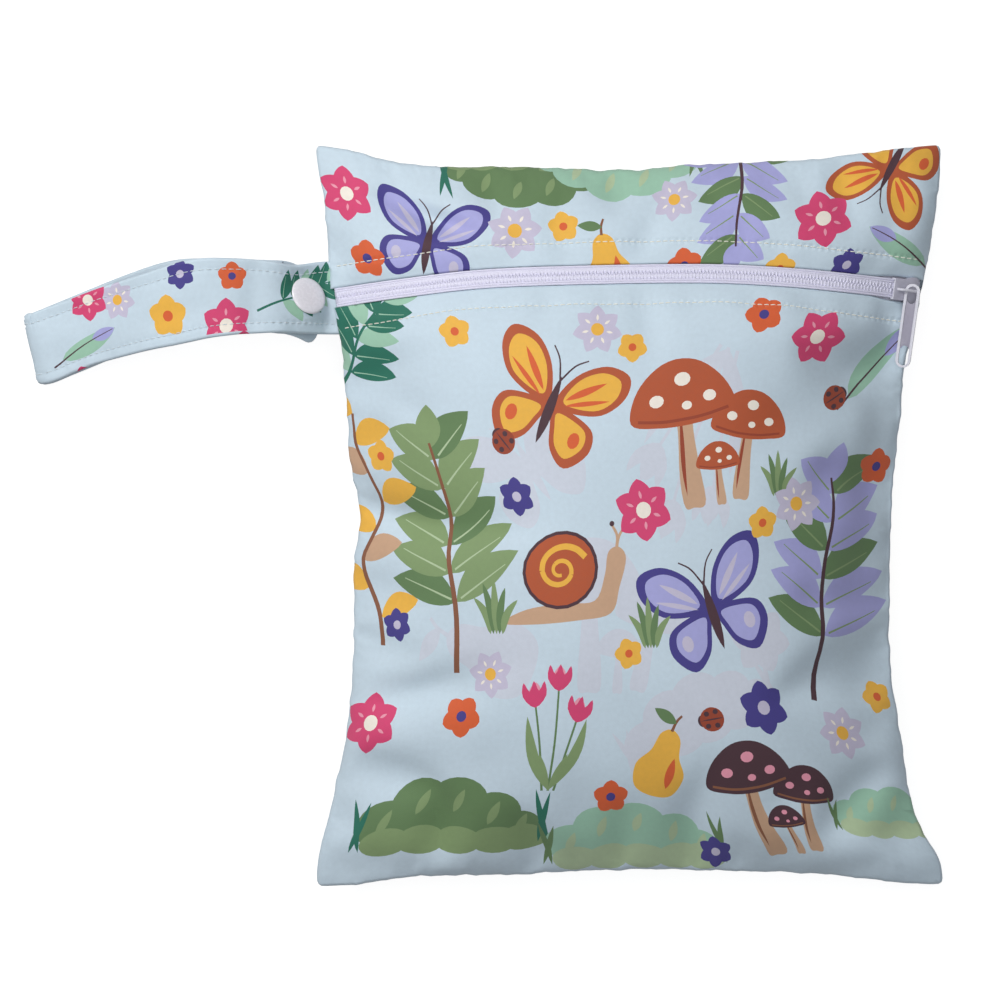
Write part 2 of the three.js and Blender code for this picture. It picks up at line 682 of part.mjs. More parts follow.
const bag = new THREE.Group();
bag.add(zipFrame, snapFrame);
zipFrame.add(pullFrame);
piece("back_panel", cut(back, slot), printedCloth, bag);
piece("front_lower_panel", cut(frontLower, slot), printedCloth, bag);
piece("front_upper_panel", cut(frontUpper, slot), printedCloth, bag);
piece("zip_tape_upper", cut(tape(1), slot), zipPolyester, bag);
piece("zip_tape_lower", cut(tape(-1), slot), zipPolyester, bag);
piece("zip_coil_upper", coil(1), zipPolyester, bag);
piece("zip_coil_lower", coil(-1), zipPolyester, bag);
piece("zip_slider", slider(), whiteEnamel, zipFrame);
piece("zip_pull", pull(), whiteEnamel, pullFrame);
piece("strap", strap, printedCloth, bag);
piece("snap_cap", cap(postTip), whitePlastic, snapFrame);
piece("snap_socket", socket, whitePlastic, snapFrame);
piece("snap_stud", stud, whitePlastic, snapFrame);
const underside = new THREE.Group();
underside.rotation.x = PI;
snapFrame.add(underside);
piece("snap_back_cap", cap(backCapTip), whitePlastic, underside);

export default bag;
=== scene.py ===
import math
import bmesh
import bpy
import numpy as np
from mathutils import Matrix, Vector, geometry, noise


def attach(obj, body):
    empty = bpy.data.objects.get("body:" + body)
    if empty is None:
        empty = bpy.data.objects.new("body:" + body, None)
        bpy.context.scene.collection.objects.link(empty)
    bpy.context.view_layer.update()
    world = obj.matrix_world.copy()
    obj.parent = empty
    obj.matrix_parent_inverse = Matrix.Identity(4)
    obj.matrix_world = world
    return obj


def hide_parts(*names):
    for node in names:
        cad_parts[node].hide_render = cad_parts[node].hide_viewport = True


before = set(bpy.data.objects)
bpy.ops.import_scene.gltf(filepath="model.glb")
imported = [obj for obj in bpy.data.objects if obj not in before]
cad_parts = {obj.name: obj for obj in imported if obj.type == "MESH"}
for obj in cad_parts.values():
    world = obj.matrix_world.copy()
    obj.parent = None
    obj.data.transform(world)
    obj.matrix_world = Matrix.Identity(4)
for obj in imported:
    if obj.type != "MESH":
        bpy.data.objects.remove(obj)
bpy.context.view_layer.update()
MM = 0.001


# Camera and light
# The bag is looked at from straight above, over a point left of its middle. A long lens keeps the
# view flat. A soft light stands at the upper left, a wider one hangs over the bag, and weak light
# comes from all round.
VIEW_MIDDLE = (-41.0, 5.1)
VIEW_SPAN = 320.5
VIEW_LEVEL = 20.0
LENS = 300.0
SENSOR = 36.0


def added(name, data):
    """A new object of the scene that shows this data."""
    thing = bpy.data.objects.new(name, data)
    bpy.context.scene.collection.objects.link(thing)
    return thing


lens = bpy.data.cameras.new("camera")
lens.lens = LENS
lens.sensor_width = SENSOR
lens.clip_end = 20.0
camera = added("camera", lens)
distance = VIEW_SPAN * LENS / SENSOR
camera.location = (VIEW_MIDDLE[0] * MM, VIEW_MIDDLE[1] * MM, (distance + VIEW_LEVEL) * MM)
bpy.context.scene.camera = camera
bpy.context.scene.view_settings.view_transform = "Standard"


def soft_light(name, place, size, watts, colour):
    """A round soft light that points at the middle of the bag."""
    panel = bpy.data.lights.new(name, "AREA")
    panel.shape = "DISK"
    panel.size = size
    panel.energy = watts
    panel.color = colour
    lamp = added(name, panel)
    lamp.location = place
    toward = Vector((0, 0, VIEW_LEVEL * MM)) - Vector(place)
    lamp.rotation_euler = toward.to_track_quat("-Z", "Y").to_euler()


soft_light("key light", (-0.7, 0.7, 0.95), 0.5, 10.6, (1.0, 0.99, 0.975))
soft_light("top light", (0.0, 0.05, 1.6), 1.2, 8.8, (0.97, 0.985, 1.0))

world = bpy.data.worlds.new("room")
world.use_nodes = True
sky = world.node_tree.nodes["Background"]
sky.inputs["Color"].default_value = (0.93, 0.96, 1.0, 1)
sky.inputs["Strength"].default_value = 0.2
bpy.context.scene.world = world


# Floor
# A plain white table. It glows a little, so that only a faint shadow lies round the bag.
# Both in metres.
FLOOR_REACH = 6.0
FLOOR_DROP = 0.0002


def new_material(name):
    material = bpy.data.materials.new(name)
    material.use_nodes = True
    return material, material.node_tree, material.node_tree.nodes["Principled BSDF"]


def set_sockets(shader, **values):
    """Sets sockets that are the same all over, each named with _ for a space."""
    for name, value in values.items():
        shader.inputs[name.replace("_", " ")].default_value = value


floor_mesh = bpy.data.meshes.new("floor")
floor_corners = [(x * FLOOR_REACH, y * FLOOR_REACH, 0) for x, y in ((-1, -1), (1, -1), (1, 1), (-1, 1))]
floor_mesh.from_pydata(floor_corners, [], [(0, 1, 2, 3)])
floor = added("floor", floor_mesh)
floor.location.z = -FLOOR_DROP
floor_paint, _, floor_shader = new_material("white table")
set_sockets(floor_shader, Base_Color=(0.3, 0.3, 0.3, 1), Roughness=0.9, Specular_IOR_Level=0.1)
set_sockets(floor_shader, Emission_Color=(1, 1, 1, 1), Emission_Strength=0.88)
floor_mesh.materials.append(floor_paint)
floor.visible_diffuse = False


# Printed cloth
# The bag and its loop are cut from one waterproof knit, pale blue with a small printed garden. Its
# flat coordinates are in millimetres of the cut cloth, and they are also its texture coordinates.
CLOTH_SPAN = 250.0
KNIT_PITCH = 0.5
GROUND = (199, 216, 228)
INKS = dict(
    sage=(128, 152, 104),
    pale_sage=(176, 196, 158),
    moss=(96, 126, 82),
    sea=(154, 196, 172),
    pine=(28, 108, 88),
    lavender=(166, 166, 218),
    lilac=(196, 190, 212),
    navy=(64, 56, 134),
    rust=(178, 82, 44),
    brick=(150, 62, 36),
    mustard=(234, 178, 66),
    amber=(214, 92, 44),
    magenta=(212, 62, 112),
    pink=(232, 152, 172),
    plum=(72, 42, 52),
    brown=(134, 84, 58),
    tan=(198, 160, 130),
    cream=(240, 232, 220),
)


def linear(colour):
    share = np.array(colour, float) / 255
    return np.where(share < 0.04045, share / 12.92, ((share + 0.055) / 1.055) ** 2.4)


def new_socket(tree, name, way, kind, value=None):
    socket = tree.interface.new_socket(name=name, in_out=way, socket_type=kind)
    if value is not None:
        socket.default_value = value
    return socket


def node(tree, kind, inputs=None, **settings):
    made = tree.nodes.new(kind)
    for key, value in settings.items():
        setattr(made, key, value)
    for key, value in (inputs or {}).items():
        if isinstance(value, bpy.types.NodeSocket):
            tree.links.new(value, made.inputs[key])
        else:
            made.inputs[key].default_value = value
    return made


def math_node(tree, operation, *values):
    return node(tree, "ShaderNodeMath", dict(enumerate(values)), operation=operation).outputs[0]


def product(tree, a, b):
    return math_node(tree, "MULTIPLY", a, b)


def scaled(tree, vector, scale):
    return node(tree, "ShaderNodeVectorMath", {0: vector, "Scale": scale}, operation="SCALE").outputs[0]


def cloud(tree, place, scale, detail):
    inputs = {"Vector": place, "Scale": scale, "Detail": detail}
    return node(tree, "ShaderNodeTexNoise", inputs).outputs[0]


def ranged(tree, value, to_low, to_high, low=0.0, high=1.0):
    """A value carried over from one range to another."""
    inputs = {"Value": value, "From Min": low, "From Max": high, "To Min": to_low, "To Max": to_high}
    return node(tree, "ShaderNodeMapRange", inputs).outputs[0]


# The range that most of a cloud's values lie in.
CLOUD = (0.3, 0.7)


def finished(tree, shader, colour, roughness, height, strength, depth):
    """Links what changes over a surface to its shader: colour, roughness and a bump of some depth."""
    tree.links.new(colour, shader.inputs["Base Color"])
    tree.links.new(roughness, shader.inputs["Roughness"])
    bump = node(tree, "ShaderNodeBump", {"Height": height, "Strength": strength, "Distance": depth * MM})
    tree.links.new(bump.outputs[0], shader.inputs["Normal"])


def object_millimetres(tree):
    return scaled(tree, node(tree, "ShaderNodeTexCoord").outputs["Object"], 1 / MM)


def knit_group():
    """Fine ribs of knitted or woven yarn: a height and a shade for each point of the cloth."""
    tree = bpy.data.node_groups.new("Yarn ribs", "ShaderNodeTree")
    new_socket(tree, "Place", "INPUT", "NodeSocketVector")
    new_socket(tree, "Pitch", "INPUT", "NodeSocketFloat", 0.5)
    new_socket(tree, "Slub", "INPUT", "NodeSocketFloat", 0.5)
    new_socket(tree, "Height", "OUTPUT", "NodeSocketFloat")
    new_socket(tree, "Shade", "OUTPUT", "NodeSocketFloat")
    inside = node(tree, "NodeGroupInput")
    out = node(tree, "NodeGroupOutput")
    apart = node(tree, "ShaderNodeSeparateXYZ", {0: inside.outputs["Place"]})
    step = math_node(tree, "DIVIDE", 2 * math.pi, inside.outputs["Pitch"])
    ribs = math_node(tree, "SINE", product(tree, apart.outputs["X"], step))
    rows = math_node(tree, "SINE", product(tree, apart.outputs["Y"], step))
    loops = product(tree, ribs, rows)
    uneven = product(tree, cloud(tree, inside.outputs["Place"], 1.3, 3.0), inside.outputs["Slub"])
    height = math_node(tree, "ADD", product(tree, loops, 0.35), uneven)
    tree.links.new(height, out.inputs["Height"])
    tree.links.new(math_node(tree, "ADD", product(tree, loops, 0.5), 0.5), out.inputs["Shade"])
    return tree


yarn_ribs = knit_group()


def ribs_at(tree, place, pitch, slub):
    """The outputs of the yarn's ribs at a place in millimetres."""
    ribs = node(tree, "ShaderNodeGroup", node_tree=yarn_ribs)
    tree.links.new(place, ribs.inputs["Place"])
    set_sockets(ribs, Pitch=pitch, Slub=slub)
    return ribs.outputs


def cloth_material():
    """Dull knit: its ink, a little uneven, with the pale ground of the yarn between the loops."""
    material, tree, shader = new_material("printed knit")
    flat = node(tree, "ShaderNodeUVMap", uv_map="OFBake").outputs[0]
    spans = {0: flat, 1: (CLOTH_SPAN, CLOTH_SPAN, 0)}
    place = node(tree, "ShaderNodeVectorMath", spans, operation="MULTIPLY").outputs[0]
    ribs = ribs_at(tree, place, KNIT_PITCH, 0.7)
    ink = node(tree, "ShaderNodeAttribute", attribute_name="ink").outputs["Color"]
    worn = cloud(tree, place, 0.6, 4.0)
    speckle = ranged(tree, worn, 0.965, 1.02, *CLOUD)
    clouds = ranged(tree, cloud(tree, place, 0.035, 2.0), 0.97, 1.03, *CLOUD)
    thread = ranged(tree, ribs["Shade"], 0.975, 1.015)
    tinted = scaled(tree, ink, product(tree, product(tree, speckle, clouds), thread))
    fleck = product(tree, ribs["Shade"], 0.022)
    flecks = node(tree, "ShaderNodeCombineXYZ", {0: fleck, 1: fleck, 2: fleck}).outputs[0]
    tinted = node(tree, "ShaderNodeVectorMath", {0: tinted, 1: flecks}, operation="ADD").outputs[0]
    rough = ranged(tree, worn, 0.62, 0.74, *CLOUD)
    finished(tree, shader, tinted, rough, ribs["Height"], 0.35, 0.08)
    set_sockets(shader, Sheen_Weight=0.12, Sheen_Roughness=0.4, Specular_IOR_Level=0.35)
    return material


printed_knit = cloth_material()


# The forms of the print: each is a closed outline in millimetres, with the ink that fills it.
def oval(x, y, wide, high, turn=0.0, points=22):
    angle = np.linspace(0, 2 * math.pi, points, endpoint=False)
    form = np.column_stack([np.cos(angle) * wide / 2, np.sin(angle) * high / 2])
    return turned(form, turn) + (x, y)


def turned(form, degrees):
    c, s = math.cos(math.radians(degrees)), math.sin(math.radians(degrees))
    return np.asarray(form, float) @ np.array([[c, s], [-s, c]])


def leaf(x0, y0, x1, y1, wide, bend=0.0, blunt=0.8):
    """A leaf or petal from its foot to its tip."""
    t = np.linspace(0, 1, 11)
    half = wide / 2 * np.sin(math.pi * t) ** blunt * (1.15 - 0.3 * t)
    start, way = np.array([x0, y0], float), np.array([x1 - x0, y1 - y0], float)
    side = np.array([-way[1], way[0]]) / np.hypot(*way)
    middle = start + t[:, None] * way + np.outer(bend * np.sin(math.pi * t), side)
    left, right = middle + half[:, None] * side, middle - half[:, None] * side
    return np.vstack([left, right[-2:0:-1]])


def smooth_loop(points, steps=5):
    """A closed curve through a few points."""
    p = np.asarray(points, float)
    t = np.linspace(0, 1, steps, endpoint=False)[None, :, None]
    a, b, c, d = (np.roll(p, k, axis=0)[:, None, :] for k in (1, 0, -1, -2))
    curve = b + 0.5 * t * (c - a + t * (2 * a - 5 * b + 4 * c - d + t * (3 * (b - c) + d - a)))
    return curve.reshape(-1, 2)


def stroke(points, first, last):
    """A line of the print through a few points, from one width to another."""
    p = np.asarray(points, float)
    at = np.linspace(0, len(p) - 1, 5 * (len(p) - 1) + 1)
    path = np.column_stack([np.interp(at, range(len(p)), p[:, k]) for k in (0, 1)])
    for _ in range(4):
        path[1:-1] = (path[:-2] + 2 * path[1:-1] + path[2:]) / 4
    way = np.gradient(path, axis=0)
    side = np.column_stack([-way[:, 1], way[:, 0]]) / np.linalg.norm(way, axis=1)[:, None]
    half = np.linspace(first, last, len(path))[:, None] / 2
    return np.vstack([path + side * half, (path - side * half)[::-1]])


def daisy(petal, heart, count=6, blunt=0.8, dots=None):
    forms = []
    for k in range(count):
        tip = turned([(0, 0.5)], 360 / count * k)[0]
        forms.append((petal, leaf(tip[0] * 0.1, tip[1] * 0.1, tip[0], tip[1], 2.3 / count, 0, blunt)))
    forms.append((heart, oval(0, 0, 0.26, 0.26, points=14)))
    for k in range(count if dots else 0):
        spot = turned([(0, 0.25)], 360 / count * k)[0]
        forms.append((dots, leaf(spot[0] * 0.72, spot[1] * 0.72, spot[0] * 1.25, spot[1] * 1.25, 0.05)))
    return forms


def sprig(stem, near, far, vein):
    """A tall branch with leaves in pairs."""
    spine = np.array([(0, -0.5), (0.03, -0.25), (-0.01, 0), (0.02, 0.22), (0, 0.36)])
    forms = []
    for k, level in enumerate(np.linspace(-0.24, 0.3, 6)):
        x = np.interp(level, spine[:, 1], spine[:, 0])
        reach = 0.27 - 0.02 * k
        for way in (-1, 1):
            ink = near if (k + (way > 0)) % 3 else far
            tip = (x + way * reach, level + 0.14 + 0.02 * way)
            forms.append((ink, leaf(x, level, *tip, 0.125, 0.02 * way)))
            rib = [(x + 0.02 * way, level + 0.012), (x + way * reach * 0.8, level + 0.115)]
            forms.append((vein, stroke(rib, 0.008, 0.003)))
    forms.append((near, leaf(0, 0.34, 0.015, 0.5, 0.1)))
    forms.append((stem, stroke(spine, 0.024, 0.01)))
    return forms


def toadstools(cap, dot, stalk, shade):
    forms = []
    for x, y, size, lean in [(0.2, -0.08, 0.62, -9), (-0.17, 0.02, 0.86, 5), (0.03, -0.24, 0.36, 2)]:
        foot = [
            (-0.07, -0.5), (-0.05, -0.1), (-0.045, 0.12), (0.045, 0.12), (0.06, -0.1), (0.09, -0.5),
            (0, -0.54)
        ]
        hood = [
            (-0.36, 0.06), (-0.29, 0.26), (-0.1, 0.4), (0.12, 0.39), (0.3, 0.24), (0.36, 0.05),
            (0.18, 0.0), (0, -0.015), (-0.18, 0.0)
        ]
        group = [
            (stalk, smooth_loop(foot)), (shade, leaf(-0.035, -0.46, -0.02, 0.1, 0.03)),
            (cap, smooth_loop(hood))
        ]
        group.append(
            (shade, stroke([(-0.31, 0.065), (-0.12, 0.025), (0.12, 0.025), (0.31, 0.06)], 0.02, 0.02))
        )
        for dx, dy, wide in [(-0.17, 0.17, 0.1), (0.02, 0.28, 0.11), (0.19, 0.15, 0.09), (0.03, 0.11, 0.07)]:
            group.append((dot, oval(dx, dy, wide, wide * 0.8, points=12)))
        forms += [(ink, turned(form, lean) * size + (x, y)) for ink, form in group]
    return forms


def butterfly(wing, edge, spot, body):
    forms = []
    for way in (-1, 1):
        upper = [
            (0.02, 0.02), (0.1, 0.26), (0.28, 0.42), (0.47, 0.42), (0.5, 0.26), (0.38, 0.08), (0.16, 0.0)
        ]
        lower = [
            (0.02, 0.0), (0.2, 0.0), (0.37, -0.06), (0.4, -0.22), (0.27, -0.38), (0.12, -0.3),
            (0.05, -0.14)
        ]
        for form, inner in [(lower, 0.72), (upper, 0.76)]:
            form = smooth_loop(form) * (way, 1)
            heart = form.mean(axis=0) * 0.92
            forms += [(edge, form), (wing, heart + (form - heart) * inner)]
        forms.append((spot, leaf(way * 0.09, 0.07, way * 0.33, 0.31, 0.05)))
        forms.append((spot, leaf(way * 0.1, 0.03, way * 0.4, 0.2, 0.035)))
        forms.append((spot, oval(way * 0.26, -0.17, 0.09, 0.12, points=12)))
        forms.append((body, stroke([(0, 0.18), (way * 0.06, 0.33), (way * 0.14, 0.4)], 0.014, 0.01)))
    forms.append((body, leaf(0, -0.3, 0, 0.22, 0.075)))
    return forms


def snail(skin, shell, line, stripe):
    foot = [
        (-0.5, -0.3), (-0.3, -0.22), (0, -0.2), (0.24, -0.2), (0.33, -0.02), (0.36, 0.14), (0.44, 0.17),
        (0.5, 0.08), (0.44, -0.12), (0.36, -0.3), (0.1, -0.33), (-0.25, -0.33)
    ]
    forms = [(skin, smooth_loop(foot))]
    forms += [(skin, stroke([(0.42, 0.12), (0.43, 0.25), (x, 0.33)], 0.026, 0.018)) for x in (0.38, 0.5)]
    forms += [(line, oval(x, 0.34, 0.04, 0.04, points=10)) for x in (0.38, 0.5)]
    forms += [(line, oval(-0.02, 0.04, 0.6, 0.56)), (shell, oval(-0.02, 0.04, 0.55, 0.51))]
    angle = np.linspace(0.4, 4.3 * math.pi, 30)
    radius = 0.23 * np.exp(-angle * 0.15)
    coil = np.column_stack([-0.02 + radius * np.cos(angle), 0.04 + radius * np.sin(angle) * 0.92])
    for first in range(0, 24, 6):
        forms.append((stripe, stroke(coil[first:first + 7], 0.045 - 0.001 * first, 0.042 - 0.001 * first)))
    return forms


def mound(back, front, blade):
    lobes = [
        (-0.36, -0.02, 0.3), (-0.17, 0.07, 0.34), (0.04, 0.09, 0.34), (0.24, 0.03, 0.3),
        (0.39, -0.05, 0.22)
    ]
    forms = [(back, oval(0.02, -0.06, 0.9, 0.2))]
    forms += [(back, oval(x, y, size, size * 0.8)) for x, y, size in lobes]
    forms += [(front, leaf(x - 0.03, y - 0.06, x + 0.03, y + 0.07, 0.05)) for x, y, _ in lobes]
    forms += [(front, oval(x, -0.12, 0.26, 0.15)) for x in (-0.34, -0.15, 0.05, 0.25, 0.4)]
    for k, x in enumerate((-0.52, -0.47, 0.47, 0.53)):
        forms.append((blade, leaf(x, -0.16, x + 0.07 * (-1) ** k, 0.1 + 0.02 * k, 0.035)))
    return forms


def tulips(head, inner, stem, blade):
    forms = []
    for x, high, lean in [(-0.2, 0.22, 8), (0.18, 0.12, -10), (0, 0.36, 0)]:
        top = np.array([x, high])
        forms.append((stem, stroke([(x * 0.25, -0.5), (x * 0.6, -0.15), top], 0.02, 0.016)))
        cup = [
            (-0.09, 0.13), (-0.1, 0.02), (0, -0.07), (0.1, 0.02), (0.09, 0.13), (0.04, 0.06), (0, 0.14),
            (-0.04, 0.06)
        ]
        forms += [
            (inner, leaf(*top, *(top + (0, 0.13)), 0.1)), (head, turned(smooth_loop(cup, 3), lean) + top)
        ]
    forms += [(blade, leaf(0.02 * way, -0.48, way * 0.25, 0.08, 0.09, -0.04 * way)) for way in (-1, 1)]
    forms += [(blade, leaf(0, -0.5, way * 0.12, -0.2, 0.06)) for way in (-1, 1)]
    return forms


def pear(skin, cheek, leafy, stalk):
    body = [
        (0, 0.3), (0.12, 0.22), (0.17, 0.02), (0.29, -0.18), (0.22, -0.42), (0, -0.48), (-0.22, -0.42),
        (-0.29, -0.18), (-0.17, 0.02), (-0.12, 0.22)
    ]
    forms = [(skin, smooth_loop(body)), (cheek, leaf(0.13, -0.36, 0.12, 0.0, 0.1))]
    forms.append((stalk, stroke([(0, 0.28), (0.02, 0.4), (0.07, 0.48)], 0.035, 0.025)))
    forms.append((leafy, leaf(0.03, 0.38, -0.26, 0.47, 0.13)))
    return forms


def grass(near, far):
    forms = []
    for k, (tip, high) in enumerate([(-0.48, 0.16), (-0.3, 0.42), (-0.08, 0.5), (0.16, 0.34), (0.42, 0.12)]):
        foot = 0.06 * (k - 2)
        forms.append((far if k % 2 else near, leaf(foot, -0.5, tip, high, 0.15, 0.04 * (k - 2), 0.6)))
    return forms


def ladybird(shell, spot, head):
    forms = [(head, oval(0, 0.34, 0.4, 0.34)), (shell, oval(0, 0, 0.8, 0.86))]
    spots = [(-0.2, 0.18), (0.2, 0.16), (-0.22, -0.15), (0.23, -0.17)]
    forms += [(head, oval(x, y, 0.17, 0.19, points=12)) for x, y in spots]
    forms.append((spot, leaf(0, -0.42, 0, 0.42, 0.05)))
    return forms


def vine(stem, near, far):
    level = np.linspace(-0.5, 0.5, 9)
    sway = 0.05 * np.sin(level * 11)
    forms = []
    for k in range(1, 9):
        way = 1 if k % 2 else -1
        tip = (sway[k] + 0.19 * way, level[k] + 0.07)
        forms.append((near if k % 3 else far, leaf(sway[k], level[k], *tip, 0.11, 0.02 * way, 0.7)))
    forms.append((stem, stroke(np.column_stack([sway, level]), 0.022, 0.012)))
    return forms


def feather(vane, tip, quill):
    forms = [
        (vane, leaf(0, -0.36, 0.02, 0.5, 0.22, 0.03, 0.6)),
        (tip, leaf(0.03, 0.14, 0.02, 0.49, 0.15, 0.01, 0.7))
    ]
    forms.append((quill, stroke([(-0.03, -0.5), (0.02, 0.0), (0.02, 0.46)], 0.022, 0.008)))
    return forms


MOTIFS = dict(
    magenta_daisy=daisy("magenta", "cream", 6, 0.7, "pink"),
    mustard_daisy=daisy("mustard", "amber", 5, 0.55),
    amber_daisy=daisy("amber", "navy", 5, 0.5),
    lilac_daisy=daisy("lilac", "mustard", 7, 0.8, "cream"),
    navy_daisy=daisy("navy", "lilac", 6, 0.6),
    sprig=sprig("brown", "sage", "moss", "pale_sage"),
    lavender_sprig=sprig("plum", "lavender", "moss", "sage"),
    sea_sprig=sprig("pine", "pine", "sea", "sea"),
    toadstools=toadstools("rust", "cream", "tan", "brick"),
    plum_toadstools=toadstools("plum", "pink", "tan", "brown"),
    butterfly=butterfly("lavender", "navy", "lilac", "plum"),
    amber_butterfly=butterfly("mustard", "rust", "amber", "plum"),
    snail=snail("tan", "rust", "plum", "mustard"),
    mound=mound("moss", "sage", "pine"),
    sea_mound=mound("sea", "pale_sage", "moss"),
    tulips=tulips("magenta", "pink", "moss", "sage"),
    pear=pear("mustard", "amber", "moss", "brown"),
    feather=feather("sea", "lavender", "plum"),
    grass=grass("sage", "moss"),
    ladybird=ladybird("brick", "plum", "plum"),
    vine=vine("brown", "mustard", "tan"),
)


FAINT_INK = "pink"


def motif_outlines(layout):
    """The outlines of a layout, with each one's colour, from the lowest to the top one.

    A row is a motif, its place across and up, its size and its turn. Where a strength follows, the
    motif is a faint shadow of the print in one ink.
    """
    outlines = []
    ground = linear(GROUND)
    for motif, x, y, size, turn, *strength in layout:
        for ink, form in MOTIFS[motif]:
            full = linear(INKS[FAINT_INK if strength else ink])
            colour = ground + (full - ground) * (strength[0] if strength else 1.0)
            form = turned(form * size, turn) + (x, y)
            after = np.roll(form, -1, axis=0)
            area = np.sum(form[:, 0] * after[:, 1] - form[:, 1] * after[:, 0])
            outlines.append((colour, form if area > 0 else form[::-1]))
    return outlines


def printed_mesh(name, border, scatter, layout, place, flip=False, offset=(0, 0)):
    """A sheet of cloth cut along its border, with its print as faces of their own colour."""
    outlines = motif_outlines(layout)
    shift = np.array(offset, float)
    loops = [np.asarray(border, float)] + [form for _, form in outlines]
    points = np.vstack(loops + [scatter])
    faces, first = [], 0
    for loop in loops:
        faces.append(list(range(first, first + len(loop))))
        first += len(loop)
    corners = [Vector(p) for p in points.tolist()]
    flat, _, triangles, _, _, sources = geometry.delaunay_2d_cdt(corners, [], faces, 1, 1e-4, True)
    kept = [(face, max(of)) for face, of in zip(triangles, sources) if of and 0 in of]
    flat = np.array([tuple(v) for v in flat])
    corners = np.array([face for face, _ in kept])
    inks = np.array([linear(GROUND)] + [colour for colour, _ in outlines])
    colours = inks[[top for _, top in kept]]
    used, corners = np.unique(corners, return_inverse=True)
    flat, corners = flat[used], corners.reshape(-1, 3)
    if flip:
        corners = corners[:, ::-1]
    mesh = bpy.data.meshes.new(name)
    mesh.from_pydata((place(flat[:, 0], flat[:, 1]) * MM).tolist(), [], corners.tolist())
    paint = mesh.attributes.new("ink", "FLOAT_COLOR", "CORNER")
    paint.data.foreach_set(
        "color", np.repeat(np.column_stack([colours, np.ones(len(colours))]), 3, axis=0).ravel()
    )
    coordinates = mesh.uv_layers.new(name="OFBake")
    coordinates.uv.foreach_set("vector", ((flat[corners.ravel()] + shift) / CLOTH_SPAN).ravel())
    mesh.polygons.foreach_set("use_smooth", np.ones(len(corners), bool))
    nudge = 0.04
    across = place(flat[:, 0] + nudge, flat[:, 1]) - place(flat[:, 0] - nudge, flat[:, 1])
    along_it = place(flat[:, 0], flat[:, 1] + nudge) - place(flat[:, 0], flat[:, 1] - nudge)
    normals = np.cross(across, along_it) * (-1 if flip else 1)
    normals /= np.maximum(np.linalg.norm(normals, axis=1), 1e-9)[:, None]
    mesh.normals_split_custom_set_from_vertices(normals.tolist())
    mesh.materials.append(printed_knit)
    piece = added(name, mesh)
    return piece


# Front lower panel
# The larger front piece of the bag. It is sewn to the back round the rim and folded under along the
# zip, where one row of stitching holds the tape behind it. Soft filling rounds it.
BAG_WIDTH = 200.0
BAG_HEIGHT = 237.0
SEAM_HEIGHT = 20.0
CORNER_HEIGHT = 9.0
FRONT_DOME = 31.0
CLOTH_WALL = 1.0
GAP = 0.3
ZIP_OPENING = 6.0
SLIDER_OPENING = 7.7
ZIP_PINCH = 1.4
FREE_FROM_ZIP = 14.0
SLIDER_LENGTH = 8.6
SLIDER_FROM_SEAM = 6.5
HEM_ROW = 7.0
STITCH_PITCH = 2.2
ROLL = 1.0
# Each row is the place along the side and how far the rim is drawn in there.
LEFT_RIM = [
    (-1, 0), (-0.92, 0.004), (-0.77, 0.026), (-0.6, 0.047), (-0.38, 0.06), (-0.12, 0.062), (0, 0.071),
    (0.14, 0.056), (0.33, 0.048), (0.47, 0.039), (0.61, 0.025), (0.84, 0.014), (0.94, 0.004), (1, 0),
]
RIGHT_RIM = [
    (-1, 0), (-0.93, 0.003), (-0.85, 0.029), (-0.77, 0.046), (-0.6, 0.062), (-0.44, 0.077), (-0.26, 0.081),
    (0.06, 0.077), (0.25, 0.065), (0.42, 0.055), (0.61, 0.029), (0.77, 0.011), (0.88, 0.002), (1, 0),
]
TOP_RIM = [
    (-1, 0), (-0.9, 0.005), (-0.76, 0.019), (-0.62, 0.027), (-0.38, 0.028), (0, 0.032), (0.2, 0.025),
    (0.5, 0.02), (0.71, 0.012), (0.86, 0.003), (1, 0),
]
BOTTOM_RIM = [
    (-1, 0), (-0.87, 0.001), (-0.68, 0.012), (-0.38, 0.015), (-0.05, 0.021), (0.22, 0.021), (0.5, 0.018),
    (0.71, 0.012), (0.86, 0.003), (1, 0),
]
ZIP_LINE = [
    (-1, 0.206), (-0.77, 0.194), (-0.5, 0.182), (-0.2, 0.177), (0.25, 0.1745), (0.52, 0.179), (0.78, 0.188),
    (1, 0.197),
]
# The columns are across, up, turn in degrees, long, wide and deep.
FRONT_FOLDS = [
    (0.79, 0.44, 43, 0.17, 0.05, 0.12),
    (0.9, 0.12, 86, 0.2, 0.03, 0.07),
    (-0.86, 0.01, -12, 0.11, 0.027, 0.09),
    (-0.72, -0.46, 16, 0.12, 0.032, 0.09),
    (-0.8, 0.33, -30, 0.1, 0.035, 0.05),
    (-0.62, 0.84, -32, 0.12, 0.035, 0.07),
    (0.86, 0.82, 78, 0.1, 0.03, 0.06),
    (-0.62, -0.88, 62, 0.1, 0.035, 0.08),
    (0.82, -0.76, -48, 0.13, 0.035, 0.08),
    (0.2, -0.9, 84, 0.07, 0.04, 0.04),
    (0.84, -0.3, 12, 0.09, 0.035, -0.05),
]
